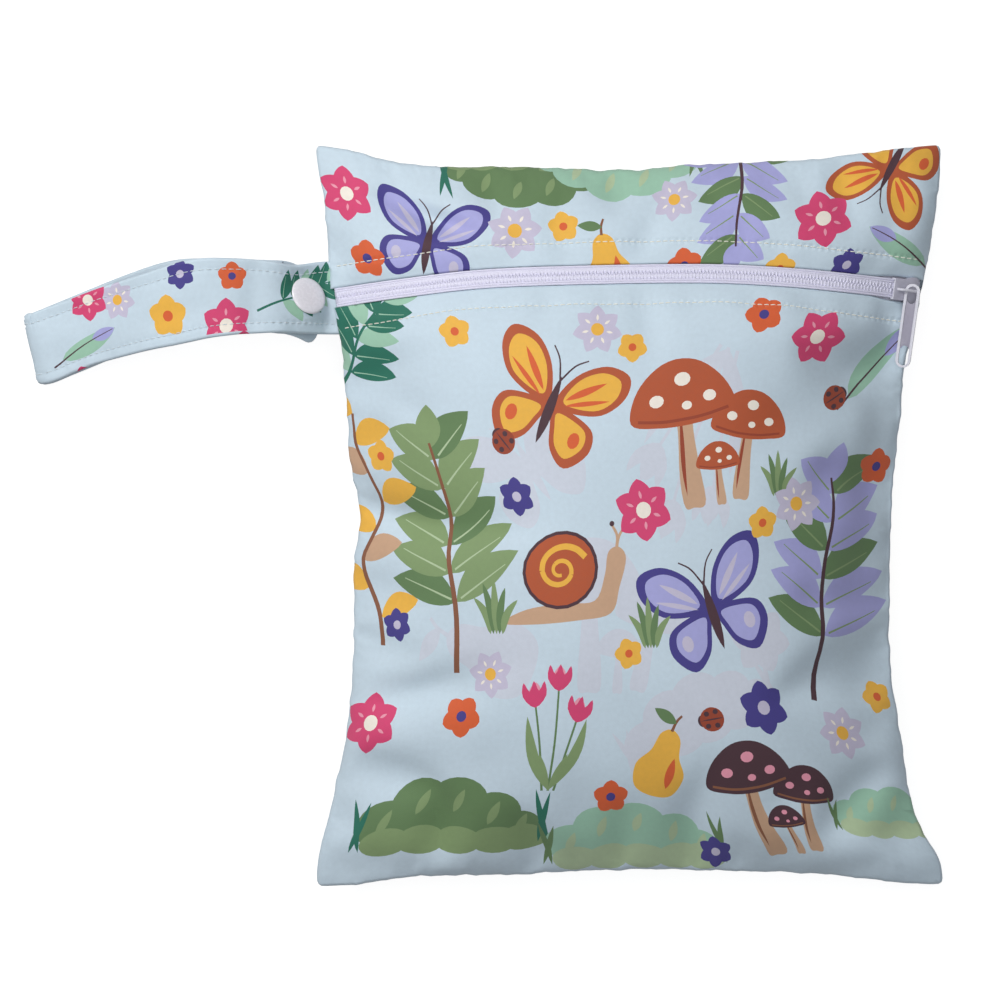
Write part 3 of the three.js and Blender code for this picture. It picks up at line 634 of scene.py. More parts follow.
# These are only in the loose cloth and die out beside the stiff zip.
SOFT_FOLDS = [
    (-0.645, 0.842, -24, 0.085, 0.021, 0.16),
    (-0.36, 0.7, -70, 0.05, 0.028, 0.05),
    (-0.72, -0.47, 12, 0.12, 0.03, 0.02),
    (-0.8, -0.7, 6, 0.14, 0.045, 0.09),
    (-1.0, -0.6, 85, 0.12, 0.08, -0.1),
    (0.865, 0.4, 45, 0.13, 0.045, 0.13),
    (0.74, 0.12, 70, 0.07, 0.03, 0.05),
    (0.7, -0.2, 100, 0.06, 0.028, 0.035),
    (0.96, -0.05, 89, 0.3, 0.09, 0.17),
    (0.9, -0.45, 80, 0.1, 0.045, 0.09),
    (0.98, -0.7, 80, 0.1, 0.07, -0.03),
    (0.95, 0.72, 85, 0.06, 0.06, -0.06),
]


def along(rows, place):
    """The value of a table at each place, on one smooth line through its rows."""
    at, value = np.array(rows, float).T
    slope = np.empty(len(at))
    slope[1:-1] = (value[2:] - value[:-2]) / (at[2:] - at[:-2])
    slope[0] = (value[1] - value[0]) / (at[1] - at[0])
    slope[-1] = (value[-1] - value[-2]) / (at[-1] - at[-2])
    i = np.clip(np.searchsorted(at, place) - 1, 0, len(at) - 2)
    span = at[i + 1] - at[i]
    t = (place - at[i]) / span
    t2, t3 = t * t, t * t * t
    first = (2 * t3 - 3 * t2 + 1) * value[i] + (t3 - 2 * t2 + t) * span * slope[i]
    return first + (3 * t2 - 2 * t3) * value[i + 1] + (t3 - t2) * span * slope[i + 1]


def mix(a, b, t):
    return a + (b - a) * t


def left_x(v):
    return BAG_WIDTH * (along(LEFT_RIM, v) - 0.5)


def right_x(v):
    return BAG_WIDTH * (0.5 - along(RIGHT_RIM, v))


def top_y(u):
    return BAG_HEIGHT * (0.5 - along(TOP_RIM, u))


def bottom_y(u):
    return BAG_HEIGHT * (along(BOTTOM_RIM, u) - 0.5)


def zip_y(u):
    return BAG_HEIGHT * (0.5 - along(ZIP_LINE, u))


def plan_x(u, v):
    return mix(left_x(v), right_x(v), (u + 1) / 2)


def plan_y(u, v):
    return mix(bottom_y(u), top_y(u), (v + 1) / 2)


def up_from(u, y):
    return 2 * (y - bottom_y(u)) / (top_y(u) - bottom_y(u)) - 1


def seam_z(u, v):
    return mix(SEAM_HEIGHT, CORNER_HEIGHT, np.abs(u * v) ** 4)


def folded(folds, u, v):
    """How deep the rows of folds dent a place; each is a long round hollow."""
    total = 0.0
    for across, up, turn, long, wide, deep in folds:
        x, y = (u - across) * BAG_WIDTH / 2, (v - up) * BAG_HEIGHT / 2
        c, s = math.cos(math.radians(turn)), math.sin(math.radians(turn))
        lengthwise, crosswise = (x * c + y * s) / (long * BAG_WIDTH), (y * c - x * s) / (wide * BAG_WIDTH)
        total = total + deep * np.exp(-lengthwise**2 - crosswise**2)
    return total


def front_height(u, v):
    """The filled front: a swell from rim to rim, a pinch along the zip, and its folds."""
    from_zip = plan_y(u, v) - zip_y(u)
    free = 1 - np.exp(-((from_zip / FREE_FROM_ZIP) ** 4))
    fuller = np.clip(u, 0, 1) * np.where(from_zip < 0, free, 0)
    across = np.maximum(1 - np.abs(u) ** (2.4 + fuller), 0) ** 0.9
    swell = across * np.maximum(1 - np.abs(v) ** 2.6, 0) ** 0.8
    fade = 1 - (1 - swell) ** 6
    pinch = ZIP_PINCH * np.exp(-((from_zip / (2 * ZIP_OPENING)) ** 2)) * np.sqrt(swell)
    dents = folded(FRONT_FOLDS, u, v) + free * folded(SOFT_FOLDS, u, v)
    rise = FRONT_DOME * (swell - dents * fade) - pinch * fade
    return seam_z(u, v) + rise + GAP / 2 + CLOTH_WALL


SLIDER_AT = 1 - 2 * SLIDER_FROM_SEAM / BAG_WIDTH


def near_zip(u, off):
    """The place beside the zip's middle line, off to its upper side, before the slider holds it."""
    v = up_from(u, zip_y(u) + off)
    return np.array([plan_x(u, v), plan_y(u, v), front_height(u, v)], float)


def unit(vector):
    return np.asarray(vector, float) / np.linalg.norm(vector)


slider_middle = near_zip(SLIDER_AT, 0)
zip_ahead = unit(near_zip(SLIDER_AT + 0.03, 0) - near_zip(SLIDER_AT - 0.03, 0))
zip_up = unit(np.cross(zip_ahead, near_zip(SLIDER_AT, 4) - near_zip(SLIDER_AT, -4)))


def front_point(u, v):
    """A place of the front. The cloth round the slider lies in the slider's own plane."""
    u, v = np.clip(u, -1, 1), np.clip(v, -1, 1)
    x, y = plan_x(u, v), plan_y(u, v)
    dx, dy = x - slider_middle[0], y - slider_middle[1]
    hold = np.exp(-(((dx**2 + dy**2) / SLIDER_LENGTH**2) ** 2)) * (1 - np.abs(u) ** 60)
    plane = slider_middle[2] - (zip_up[0] * dx + zip_up[1] * dy) / zip_up[2]
    return np.stack([x, y, mix(front_height(u, v), plane, hold)], axis=-1)


def half_opening(u):
    reach = (u - SLIDER_AT) * BAG_WIDTH / 2 / SLIDER_LENGTH
    return mix(ZIP_OPENING, SLIDER_OPENING, np.exp(-(reach**4))) / 2


def lower_edge(u):
    return up_from(u, zip_y(u) - half_opening(u))


def rolled(distance):
    """How far a folded edge turns down at a distance from it."""
    inner = np.clip(1 - distance / ROLL, 0, 1)
    return ROLL * (1 - np.sqrt(1 - inner**2))


SETTLING_SCALE = 0.01
CLOTH_SETTINGS = dict(
    quality=8, mass=0.2, tension_stiffness=12, compression_stiffness=12, shear_stiffness=6,
    bending_stiffness=1.5, tension_damping=8, compression_damping=8, air_damping=4,
    vertex_group_mass="held", use_pressure=True,
)


def settle(points, held, frames, excess, pressure):
    """The cloth's own way of taking up a little excess: how far each point of a grid moves, in mm."""
    scale = SETTLING_SCALE
    rows, columns = points.shape[:2]
    numbers = np.arange(rows * columns).reshape(rows, columns)
    quads = np.stack([numbers[:-1, :-1], numbers[:-1, 1:], numbers[1:, 1:], numbers[1:, :-1]], axis=-1)
    mesh = bpy.data.meshes.new("settling")
    mesh.from_pydata((points.reshape(-1, 3) * scale).tolist(), [], quads.reshape(-1, 4).tolist())
    cloth = added("settling", mesh)
    group = cloth.vertex_groups.new(name="held")
    group.add(numbers[held].tolist(), 1.0, "REPLACE")
    modifier = cloth.modifiers.new("Cloth", "CLOTH")
    for key, value in CLOTH_SETTINGS.items():
        setattr(modifier.settings, key, value)
    modifier.settings.uniform_pressure_force = pressure
    modifier.settings.shrink_min = -excess
    modifier.settings.effector_weights.gravity = 0
    modifier.collision_settings.use_collision = False
    modifier.point_cache.frame_start = 1
    modifier.point_cache.frame_end = frames
    for number in range(1, frames + 1):
        bpy.context.scene.frame_set(number)
    settled = cloth.evaluated_get(bpy.context.evaluated_depsgraph_get())
    moved = np.empty(rows * columns * 3)
    settled.data.vertices.foreach_get("co", moved)
    bpy.data.objects.remove(cloth)
    bpy.context.scene.frame_set(1)
    return moved.reshape(rows, columns, 3) / scale - points


def on_grid(grid, s, t):
    """The value of a grid at places from 0 to 1 along its columns and rows, on a smooth surface."""
    rows, columns = grid.shape[:2]
    x, y = np.clip(s, 0, 1) * (columns - 1), np.clip(t, 0, 1) * (rows - 1)
    i, j = np.minimum(x.astype(int), columns - 2), np.minimum(y.astype(int), rows - 2)
    fx, fy = (x - i)[..., None], (y - j)[..., None]

    def weights(f):
        return [
            ((2 - f) * f - 1) * f / 2,
            ((3 * f - 5) * f * f + 2) / 2,
            ((4 - 3 * f) * f + 1) * f / 2,
            (f - 1) * f * f / 2,
        ]

    total = 0.0
    for a, wy in enumerate(weights(fy)):
        row = np.clip(j + a - 1, 0, rows - 1)
        for b, wx in enumerate(weights(fx)):
            total = total + wx * wy * grid[row, np.clip(i + b - 1, 0, columns - 1)]
    return total


def capped(moves, most):
    """The moves, none of them longer than the most."""
    length = np.linalg.norm(moves, axis=-1, keepdims=True)
    return moves * np.tanh(length / most) * most / np.maximum(length, 1e-9)


GRID_PITCH = 2.6


def unevenness(x, y, layer):
    """Smooth values from about -1 to 1 for an array of places, the same in each run."""
    values = [noise.noise(Vector((a, b, layer))) for a, b in zip(x.ravel(), y.ravel())]
    return np.array(values).reshape(x.shape)


def settled_panel(shape, low, high, frames, excess, pressure, also_held=None):
    """The moves of a panel between two edges, low and high, held round its rim."""
    columns = int(BAG_WIDTH / GRID_PITCH) + 1
    rows = int((high(0.0) - low(0.0)) * BAG_HEIGHT / 2 / GRID_PITCH) + 1
    u, t = np.meshgrid(np.linspace(-1, 1, columns), np.linspace(0, 1, rows))
    v = mix(low(u), high(u), t)
    points = shape(u, v)
    start = points.copy()
    start[..., 2] += 0.25 * unevenness(u * 9, v * 11, 3.7)
    held = np.zeros(u.shape, bool)
    held[[0, -1]] = held[:, [0, -1]] = True
    if also_held is not None:
        held |= also_held(u, v)
    start[held] = points[held]
    moves = settle(start, held, frames, excess, pressure) + start - points
    for _ in range(2):
        moves[1:-1] = (moves[:-2] + 2 * moves[1:-1] + moves[2:]) / 4
        moves[:, 1:-1] = (moves[:, :-2] + 2 * moves[:, 1:-1] + moves[:, 2:]) / 4
    moves[held] = 0
    return capped(moves, 4.5)


# Each corner, how far it is pulled out across and up.
CORNERS = [(-1, 1, -0.6, 1.1), (1, 1, 1.2, 1.2), (1, -1, 2.0, -0.2), (-1, -1, -0.2, -0.9)]
# How steeply the pull fades along the two sides, and how small the blunt tip is.
FADE_ACROSS, FADE_UP, TIP = 12, 14, 110


def corner_pull(u, v):
    """The corners of the turned seam stand out a little, and their tips are blunt."""
    pulled = np.zeros(u.shape + (3,))
    for side, end, across, up in CORNERS:
        near_x, near_y = np.clip(side * u, 0, 1), np.clip(end * v, 0, 1)
        blunt = (near_x * near_y) ** TIP
        pulled += (near_x**FADE_ACROSS * near_y**FADE_UP)[..., None] * np.array([across, up, 0])
        pulled -= blunt[..., None] * np.array([side, end, 0])
    return pulled


def seam_puckers(u, v, way):
    """Small gathers that the seam thread draws in the cloth all along the rim."""
    sides, ends = (1 - np.abs(u)) * BAG_WIDTH / 2, (1 - np.abs(v)) * BAG_HEIGHT / 2
    from_rim = np.minimum(sides, ends)
    run = np.where(sides < ends, v * BAG_HEIGHT / 2 + 300 * np.sign(u), u * BAG_WIDTH / 2 + 700 * np.sign(v))
    from_seam = 0.4 * (from_rim * 0.1)
    ribs = unevenness(run * 0.17, from_seam, 5.2) + 0.5 * unevenness(run * 0.42, from_seam, 1.3)
    corner = np.clip((np.maximum(sides, ends) - 4) / 8, 0, 1)
    raised = 0.75 * ribs * corner * (from_rim / 2.2) * np.exp(1 - from_rim / 2.2)
    wobble = 0.55 * ribs * corner * np.exp(-from_rim / 3)
    moved = np.zeros(u.shape + (3,))
    moved[..., 0] = np.where(sides < ends, -np.sign(u) * wobble, 0)
    moved[..., 1] = np.where(sides < ends, 0, -np.sign(v) * wobble)
    moved[..., 2] = way * raised
    return moved


def give_of(moves, low, high, u, v):
    """What the settled cloth adds at a place of a panel between its low and its high edge."""
    if moves is None:
        return 0.0
    t = (v - low(u)) / np.maximum(high(u) - low(u), 1e-6)
    return on_grid(moves, (u + 1) / 2, t)


def bottom_edge(u):
    return -1.0 + 0 * u


def hem_groove(distance, run):
    """The little trough along a row of stitching, deeper where each stitch dips in."""
    dips = 0.72 + 0.28 * np.cos(2 * math.pi * run / STITCH_PITCH)
    return 0.45 * np.exp(-((distance / 0.9) ** 2)) * dips


STRAP_LEVEL = 0.59
STRAP_WIDTH = 23.5


def strap_bulge(u, v):
    """How far the seam opens round the root of the loop."""
    away = np.abs(v - STRAP_LEVEL) * BAG_HEIGHT / 2 / (STRAP_WIDTH / 2 + 1.6)
    return 1.25 * np.exp(-((away**2) ** 4)) * np.exp(-(((1 + u) * BAG_WIDTH / 2 / 5) ** 2))


def hem_level(u, side):
    """Where the row of stitching beside the zip runs, as a flat height."""
    return up_from(u, zip_y(u) + side * (ZIP_OPENING / 2 + HEM_ROW)) * BAG_HEIGHT / 2


lower_moves = settled_panel(front_point, bottom_edge, lower_edge, 30, 0.028, 0.35)


def front_place(side, moves, low, high):
    """Gives where a flat place of a front panel lies; side is -1 below the zip and 1 above it."""
    zip_edge = high if side < 0 else low

    def place(x, y):
        u, v = np.clip(x / (BAG_WIDTH / 2), -1, 1), np.clip(y / (BAG_HEIGHT / 2), -1, 1)
        point = front_point(u, v) + give_of(moves, low, high, u, v) + corner_pull(u, v)
        from_zip = side * (v - zip_edge(u)) * BAG_HEIGHT / 2
        sides = np.minimum(1 + u, 1 - u) * BAG_WIDTH / 2
        from_rim = np.minimum(sides, (1 - side * v) * BAG_HEIGHT / 2)
        point[..., 2] -= np.maximum(rolled(from_rim), rolled(from_zip))
        point[..., 2] -= hem_groove(y - hem_level(u, side), x) * np.clip(sides / 3, 0, 1)
        point[..., 2] += strap_bulge(u, v)
        return point + seam_puckers(u, v, 1)

    return place


lower_place = front_place(-1, lower_moves, bottom_edge, lower_edge)


def rim_points(border, inward=(0.12, 0.35, 0.65, 1.0, 2.0)):
    """Points in rows beside a border, where the cloth turns over."""
    ahead = np.roll(border, -1, axis=0) - np.roll(border, 1, axis=0)
    side = np.column_stack([-ahead[:, 1], ahead[:, 0]]) / np.linalg.norm(ahead, axis=1)[:, None]
    return np.vstack([border + side * step for step in inward])


def even_border(corners, pitch=1.6):
    """A closed border with points at an even pitch along its sides."""
    loop = np.vstack([corners, corners[:1]])
    run = np.concatenate([[0], np.cumsum(np.linalg.norm(np.diff(loop, axis=0), axis=1))])
    at = np.linspace(0, run[-1], int(run[-1] / pitch), endpoint=False)
    at = np.unique(np.concatenate([at, run[:-1]]))
    at = at[np.concatenate([[True], np.diff(at) > 0.2])]
    return np.column_stack([np.interp(at, run, loop[:, k]) for k in (0, 1)])


def inside_grid(x0, x1, y0, y1, pitch=2.4):
    """Points all over a rectangle, every second row moved by half a step."""
    rows = np.arange(y0 + pitch / 2, y1, pitch * 0.87)
    columns = np.arange(x0 + pitch / 2, x1, pitch)
    x, y = np.meshgrid(columns, rows)
    x[1::2] += pitch / 2
    grid = np.column_stack([x.ravel(), y.ravel()])
    return grid[(grid[:, 0] < x1) & (grid[:, 0] > x0)]


# How far from the middle the even points inside a panel reach, and where they stop beside the zip.
RIM_MARGIN = 2.5
INNER_X, INNER_Y = BAG_WIDTH / 2 - RIM_MARGIN, BAG_HEIGHT / 2 - RIM_MARGIN
LOWER_GRID_TOP = 66
zip_run = np.linspace(-1, 1, 90)
lower_border = even_border(
    np.vstack([
        [(-BAG_WIDTH / 2, -BAG_HEIGHT / 2), (BAG_WIDTH / 2, -BAG_HEIGHT / 2)],
        np.column_stack([zip_run[::-1] * BAG_WIDTH / 2, lower_edge(zip_run[::-1]) * BAG_HEIGHT / 2]),
    ])
)
hem_x = np.arange(-BAG_WIDTH / 2 + 1, BAG_WIDTH / 2 - 1, 0.75)
HEM_STEPS = (-1.6, -0.8, 0, 0.8, 1.6)


def hem_points(side):
    """Points in rows along the stitching beside the zip, where the cloth dips."""
    level = hem_level(hem_x * 2 / BAG_WIDTH, side)
    return np.vstack([np.column_stack([hem_x, level + step]) for step in HEM_STEPS])


LOWER_LAYOUT = [
    ("toadstools", -2, -30, 62, -6, 0.13),
    ("tulips", 24, 24, 66, 160, 0.13),
    ("butterfly", -34, 18, 44, 30, 0.12),
    ("mound", 26, -64, 56, 24, 0.13),
    ("pear", -52, -42, 44, 70, 0.12),
    ("magenta_daisy", 50, -40, 22, 24, 0.14),
    ("sprig", -66, -6, 88, 7),
    ("amber_butterfly", -26, 38, 46, -24),
    ("toadstools", 31, 30, 60, 3),
    ("lavender_sprig", 74, -18, 84, -5),
    ("snail", -22, -18, 46, 4),
    ("butterfly", 32, -30, 46, 20),
    ("tulips", -24, -68, 42, -4),
    ("mound", -58, -98, 62, 0),
    ("pear", 14, -78, 30, -18),
    ("sea_mound", 2, -107, 56, 0),
    ("plum_toadstools", 52, -90, 48, 5),
    ("sea_sprig", -92, 58, 54, -32),
    ("feather", 88, 48, 38, -40),
    ("sea_mound", 92, -96, 40, 0),
    ("vine", -94, -4, 74, 2),
    ("grass", -46, -28, 18, 0),
    ("grass", 10, -34, 17, 0),
    ("grass", 56, 14, 15, 0),
    ("ladybird", -43, 26, 10, 40),
    ("ladybird", 74, 38, 10, -60),
    ("ladybird", 31, -66, 10, 100),
    ("magenta_daisy", 6, 3, 21, 10),
    ("magenta_daisy", -91, -66, 20, 0),
    ("magenta_daisy", 66, 58, 19, 30),
    ("mustard_daisy", -58, 62, 11, 12),
    ("mustard_daisy", 2, 57, 10.5, 40),
    ("mustard_daisy", 50, -2, 11, 5),
    ("mustard_daisy", 2, -44, 10.5, 20),
    ("mustard_daisy", 93, -58, 11, 20),
    ("mustard_daisy", -88, 20, 10.5, 0),
    ("lilac_daisy", -10, 63, 17, 0),
    ("lilac_daisy", 63, 4, 18, 15),
    ("lilac_daisy", -48, -50, 16, 30),
    ("amber_daisy", 46, 66, 13, 20),
    ("amber_daisy", -4, -92, 12, 0),
    ("amber_daisy", 92, 16, 12, 0),
    ("navy_daisy", -40, 8, 13, 0),
    ("navy_daisy", 50, -62, 18, 10),
    ("lilac_daisy", 78, -70, 17, 40),
    ("amber_daisy", -58, -64, 14, 40),
    ("navy_daisy", -84, -34, 11, 10),
    ("navy_daisy", 28, -112, 11, 0),
]
front_lower = printed_mesh(
    "front_lower_cloth",
    lower_border,
    np.vstack([
        rim_points(lower_border),
        hem_points(-1),
        inside_grid(-INNER_X, INNER_X, -INNER_Y, LOWER_GRID_TOP),
    ]),
    LOWER_LAYOUT,
    lower_place,
    offset=(125, 125),
)
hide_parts("front_lower_panel")
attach(front_lower, "bag")


# Front upper panel
# The narrow front piece above the zip, folded under along the zip like the lower one, and sewn into
# the top seam and the two sides.
def upper_edge(u):
    return up_from(u, zip_y(u) + half_opening(u))


def top_edge(u):
    return 1.0 + 0 * u


upper_moves = settled_panel(front_point, upper_edge, top_edge, 30, 0.028, 0.35)


upper_place = front_place(1, upper_moves, upper_edge, top_edge)
UPPER_GRID_BOTTOM = 84
upper_border = even_border(
    np.vstack([
        np.column_stack([zip_run * BAG_WIDTH / 2, upper_edge(zip_run) * BAG_HEIGHT / 2]),
        [(BAG_WIDTH / 2, BAG_HEIGHT / 2), (-BAG_WIDTH / 2, BAG_HEIGHT / 2)],
    ])
)
UPPER_LAYOUT = [
    ("butterfly", -66, 92, 36, -12),
    ("mound", -34, 115, 50, 180),
    ("sea_mound", -4, 119, 52, 180),
    ("lavender_sprig", 36, 112, 62, 176),
    ("pear", -8, 88, 26, 14),
    ("amber_butterfly", 84, 112, 34, 150),
    ("feather", 90, 86, 30, 60),
    ("magenta_daisy", -92, 104, 18, 0),
    ("magenta_daisy", 62, 98, 20, 12),
    ("lilac_daisy", -38, 96, 18, 20),
    ("lilac_daisy", 14, 106, 15, 20),
    ("mustard_daisy", -22, 98, 10.5, 10),
    ("mustard_daisy", 50, 82, 10.5, 0),
    ("amber_daisy", -86, 84, 12, 0),
    ("navy_daisy", 72, 82, 11, 0),
    ("amber_daisy", 18, 84, 12, 10),
]
front_upper = printed_mesh(
    "front_upper_cloth",
    upper_border,
    np.vstack([
        rim_points(upper_border),
        hem_points(1),
        inside_grid(-INNER_X, INNER_X, UPPER_GRID_BOTTOM, INNER_Y),
    ]),
    UPPER_LAYOUT,
    upper_place,
    offset=(125, -40),
)
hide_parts("front_upper_panel")
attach(front_upper, "bag")


# Back panel
# One piece of the same cloth, cut head down. Its middle lies flat on the table and its sides curl up
# to the seam.
FLAT_SHARE = 0.66
BACK_FOLDS = [
    (-0.88, 0.3, 10, 0.07, 0.04, 0.12),
    (0.88, -0.15, -14, 0.07, 0.04, 0.14),
    (0.3, 0.88, 80, 0.06, 0.045, 0.12),
    (-0.35, -0.88, 98, 0.06, 0.045, 0.12),
]


def back_point(u, v):
    def curl(t):
        return np.maximum((np.abs(t) - FLAT_SHARE) / (1 - FLAT_SHARE), 0) ** 1.6

    u, v = np.clip(u, -1, 1), np.clip(v, -1, 1)
    rise = 1 - (1 - curl(u)) * (1 - curl(v))
    dent = SEAM_HEIGHT * folded(BACK_FOLDS, u, v) * 4 * rise * (1 - rise)
    z = (seam_z(u, v) - CLOTH_WALL - GAP / 2) * rise + dent
    return np.stack([plan_x(u, v), plan_y(u, v), z], axis=-1)


def on_table(u, v):
    return np.maximum(np.abs(u), np.abs(v)) < FLAT_SHARE + 0.03


back_moves = settled_panel(back_point, bottom_edge, top_edge, 22, 0.02, -0.2, on_table)


def back_place(x, y):
    u, v = np.clip(x / (BAG_WIDTH / 2), -1, 1), np.clip(y / (BAG_HEIGHT / 2), -1, 1)
    point = back_point(u, v) + give_of(back_moves, bottom_edge, top_edge, u, v) + corner_pull(u, v)
    from_rim = np.minimum((1 - np.abs(u)) * BAG_WIDTH / 2, (1 - np.abs(v)) * BAG_HEIGHT / 2)
    point[..., 2] += rolled(from_rim)
    point += seam_puckers(u, v, -1)
    point[..., 2] = np.maximum(point[..., 2] - strap_bulge(u, v), 0)
    return point


half_width, half_height = BAG_WIDTH / 2, BAG_HEIGHT / 2
back_border = even_border(
    np.array([
        (-half_width, -half_height), (half_width, -half_height), (half_width, half_height),
        (-half_width, half_height),
    ])
)
BACK_LAYOUT = [
    (motif, -x, -y, size, turn + 180) for motif, x, y, size, turn, *faint in LOWER_LAYOUT if not faint
]
BACK_LAYOUT += [
    ("amber_butterfly", -60, -96, 40, 14),
    ("sprig", 10, -96, 60, 84),
    ("magenta_daisy", 70, -98, 20, 0),
]
back = printed_mesh(
    "back_cloth",
    back_border,
    np.vstack([
        rim_points(back_border),
        inside_grid(-INNER_X, INNER_X, -INNER_Y, INNER_Y, 3.0),
    ]),
    BACK_LAYOUT,
    back_place,
    flip=True,
    offset=(125, 125),
)
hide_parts("back_panel")
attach(back, "bag")


# Zip tapes
# Two woven polyester tapes, one sewn under each fold. Each carries a coil along its inner edge and
# shows only as a narrow strip beside it.
TAPE_TOP = CLOTH_WALL + 2 * GAP
TAPE_WALL = 0.5
TAPE_WIDTH = 11.0
TAPE_INNER = 1.5
TAPE_COLUMNS = 150
ZIP_FROM, ZIP_TO = -98.8, 98.8


def lofted(parts):
    """The corners and faces of several closed solids, each lofted through its rings."""
    corners, faces, first = [], [], 0
    for rings in parts:
        rings = np.asarray(rings, float)
        count, sides = rings.shape[:2]
        number = first + np.arange(count * sides).reshape(count, sides)
        after = np.roll(number, -1, axis=1)
        quads = np.stack([number[:-1], after[:-1], after[1:], number[1:]], axis=-1)
        faces += quads.reshape(-1, 4).tolist() + [number[0, ::-1].tolist(), number[-1].tolist()]
        corners.append(rings.reshape(-1, 3))
        first += count * sides
    return np.vstack(corners), faces


def solid_piece(name, parts, material, flip=False, sharp=None):
    corners, faces = lofted(parts)
    if flip:
        faces = [face[::-1] for face in faces]
    mesh = bpy.data.meshes.new(name)
    mesh.from_pydata((corners * MM).tolist(), [], faces)
    mesh.polygons.foreach_set("use_smooth", np.ones(len(faces), bool))
    if sharp is not None:
        mesh.set_sharp_from_angle(angle=math.radians(sharp))
    mesh.materials.append(material)
    piece = added(name, mesh)
    return piece


def tube(path, radius, sides=8, squash=1.0, up=(0, 0, 1)):
    """Rings round a path; the radius may change along it."""
    path = np.asarray(path, float)
    radius = np.broadcast_to(np.asarray(radius, float), len(path))
    ahead = np.gradient(path, axis=0)
    ahead /= np.maximum(np.linalg.norm(ahead, axis=1), 1e-9)[:, None]
    out = np.broadcast_to(np.asarray(up, float), path.shape)
    out = out - np.sum(out * ahead, axis=1)[:, None] * ahead
    out /= np.maximum(np.linalg.norm(out, axis=1), 1e-9)[:, None]
    side = np.cross(ahead, out)
    angle = np.linspace(0, 2 * math.pi, sides, endpoint=False)
    turns = angle[None, :, None]
    spread = np.cos(turns) * side[:, None] + np.sin(turns) * out[:, None] * squash
    return path[:, None] + spread * radius[:, None, None]


def zip_point(x, off, lift=0.0):
    """A point of the zip: along it, beside its middle line, and above or below the cloth."""
    x, off, lift = np.broadcast_arrays(np.asarray(x, float), np.asarray(off, float), np.asarray(lift, float))
    u = x / (BAG_WIDTH / 2)
    point = front_point(u, up_from(u, zip_y(u) + off))
    point[..., 2] += lift
    return point


def yarn_material(name, colour, pitch, rough, strength, sheen=0.1, even=0.0):
    """Plain woven yarn, with its ribs placed by the object's own millimetres."""
    material, tree, shader = new_material(name)
    place = object_millimetres(tree)
    ribs = ribs_at(tree, place, pitch, 0.5)
    worn = cloud(tree, place, 0.9, 3.0)
    tone = ranged(tree, worn, 0.93 + even, 1.03, *CLOUD)
    thread = ranged(tree, ribs["Shade"], 0.93 + even, 1.03)
    tinted = scaled(tree, tuple(linear(colour)), product(tree, tone, thread))
    roughness = ranged(tree, worn, rough - 0.08, rough + 0.08)
    finished(tree, shader, tinted, roughness, ribs["Height"], strength, 0.1)
    set_sockets(shader, Sheen_Weight=sheen)
    return material


woven_tape = yarn_material("woven tape", (210, 209, 227), 0.7, 0.6, 0.4)


def tape(side):
    """Rings of a flat strip with round edges, from its inner edge to its outer one."""
    x = np.linspace(ZIP_FROM, ZIP_TO, TAPE_COLUMNS)
    half = TAPE_WALL / 2
    edge = [(0, 0), (0.12, 0.35), (0.45, 0.5)]
    top = [(TAPE_INNER + a, b - half) for a, b in edge]
    top += [(TAPE_INNER + share * TAPE_WIDTH, half) for share in (0.15, 0.3, 0.5, 0.7, 0.85)]
    top += [(TAPE_INNER + TAPE_WIDTH - a, b - half) for a, b in edge[::-1]]
    bottom = [(off, -half) for off, lift in top[-3:1:-1]]
    middle = -TAPE_TOP - TAPE_WALL / 2
    return [zip_point(x, side * off, middle + lift) for off, lift in top + bottom]


for name, side in (("upper", 1), ("lower", -1)):
    rings = np.stack(tape(side), axis=1)
    strip = solid_piece("zip_tape_" + name + "_woven", [rings], woven_tape, flip=side > 0)
    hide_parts("zip_tape_" + name)
    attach(strip, "bag")


# Zip coils
# Each coil is one nylon thread wound in narrow turns, which are the teeth. Two cords are sewn along
# the turns and hold them to the tape, and the heads of both coils mesh in the middle.
TOOTH_PITCH = 1.16
TOOTH_THREAD = 0.52
TOOTH_LEAN = 0.16
COIL_END = 0.6
# Each cord that sews the turns down: how far from the middle line, and how thick.
SEWN_CORDS = [(2.0, 0.38), (2.68, 0.37)]
# The flat cord inside the turns: how far out, how high, half its width and its flatness.
CORE_OFF, CORE_LIFT, CORE_REACH, CORE_SQUASH = 1.05, -0.22, 0.95, 0.42
coil_nylon = yarn_material("coil nylon", (219, 217, 236), 0.8, 0.5, 0.05, 0.0, 0.06)


def coil(side, shift):
    """One coil, beside the middle line. A turn's rows are how far out and how high its thread runs."""
    turns = [
        (1.75, -0.5), (1.72, -0.16), (1.45, 0.0), (0.8, 0.06), (0.12, 0.06), (-0.24, -0.08),
        (-0.28, -0.42), (0.3, -0.6), (1.4, -0.62)
    ]
    thick = np.array([0.9, 1, 1.1, 1.15, 1.2, 1.15, 1.0, 0.9, 0.8]) * TOOTH_THREAD / 2
    parts = []
    for x in np.arange(ZIP_FROM + COIL_END + shift, ZIP_TO - COIL_END, TOOTH_PITCH):
        lean = np.linspace(TOOTH_LEAN, -TOOTH_LEAN, len(turns))
        path = [zip_point(x + dx, side * off, lift) for dx, (off, lift) in zip(lean, turns)]
        parts.append(tube(path, thick, 6, up=(1, 0, 0)))
    x = np.arange(ZIP_FROM, ZIP_TO, TOOTH_PITCH / 4)
    for off, bead in SEWN_CORDS:
        parts.append(tube(zip_point(x, side * off, 0.0), bead, 8, 0.75))
    core = zip_point(np.linspace(ZIP_FROM, ZIP_TO, 120), side * CORE_OFF, CORE_LIFT)
    parts.append(tube(core, CORE_REACH, 10, CORE_SQUASH))
    return parts


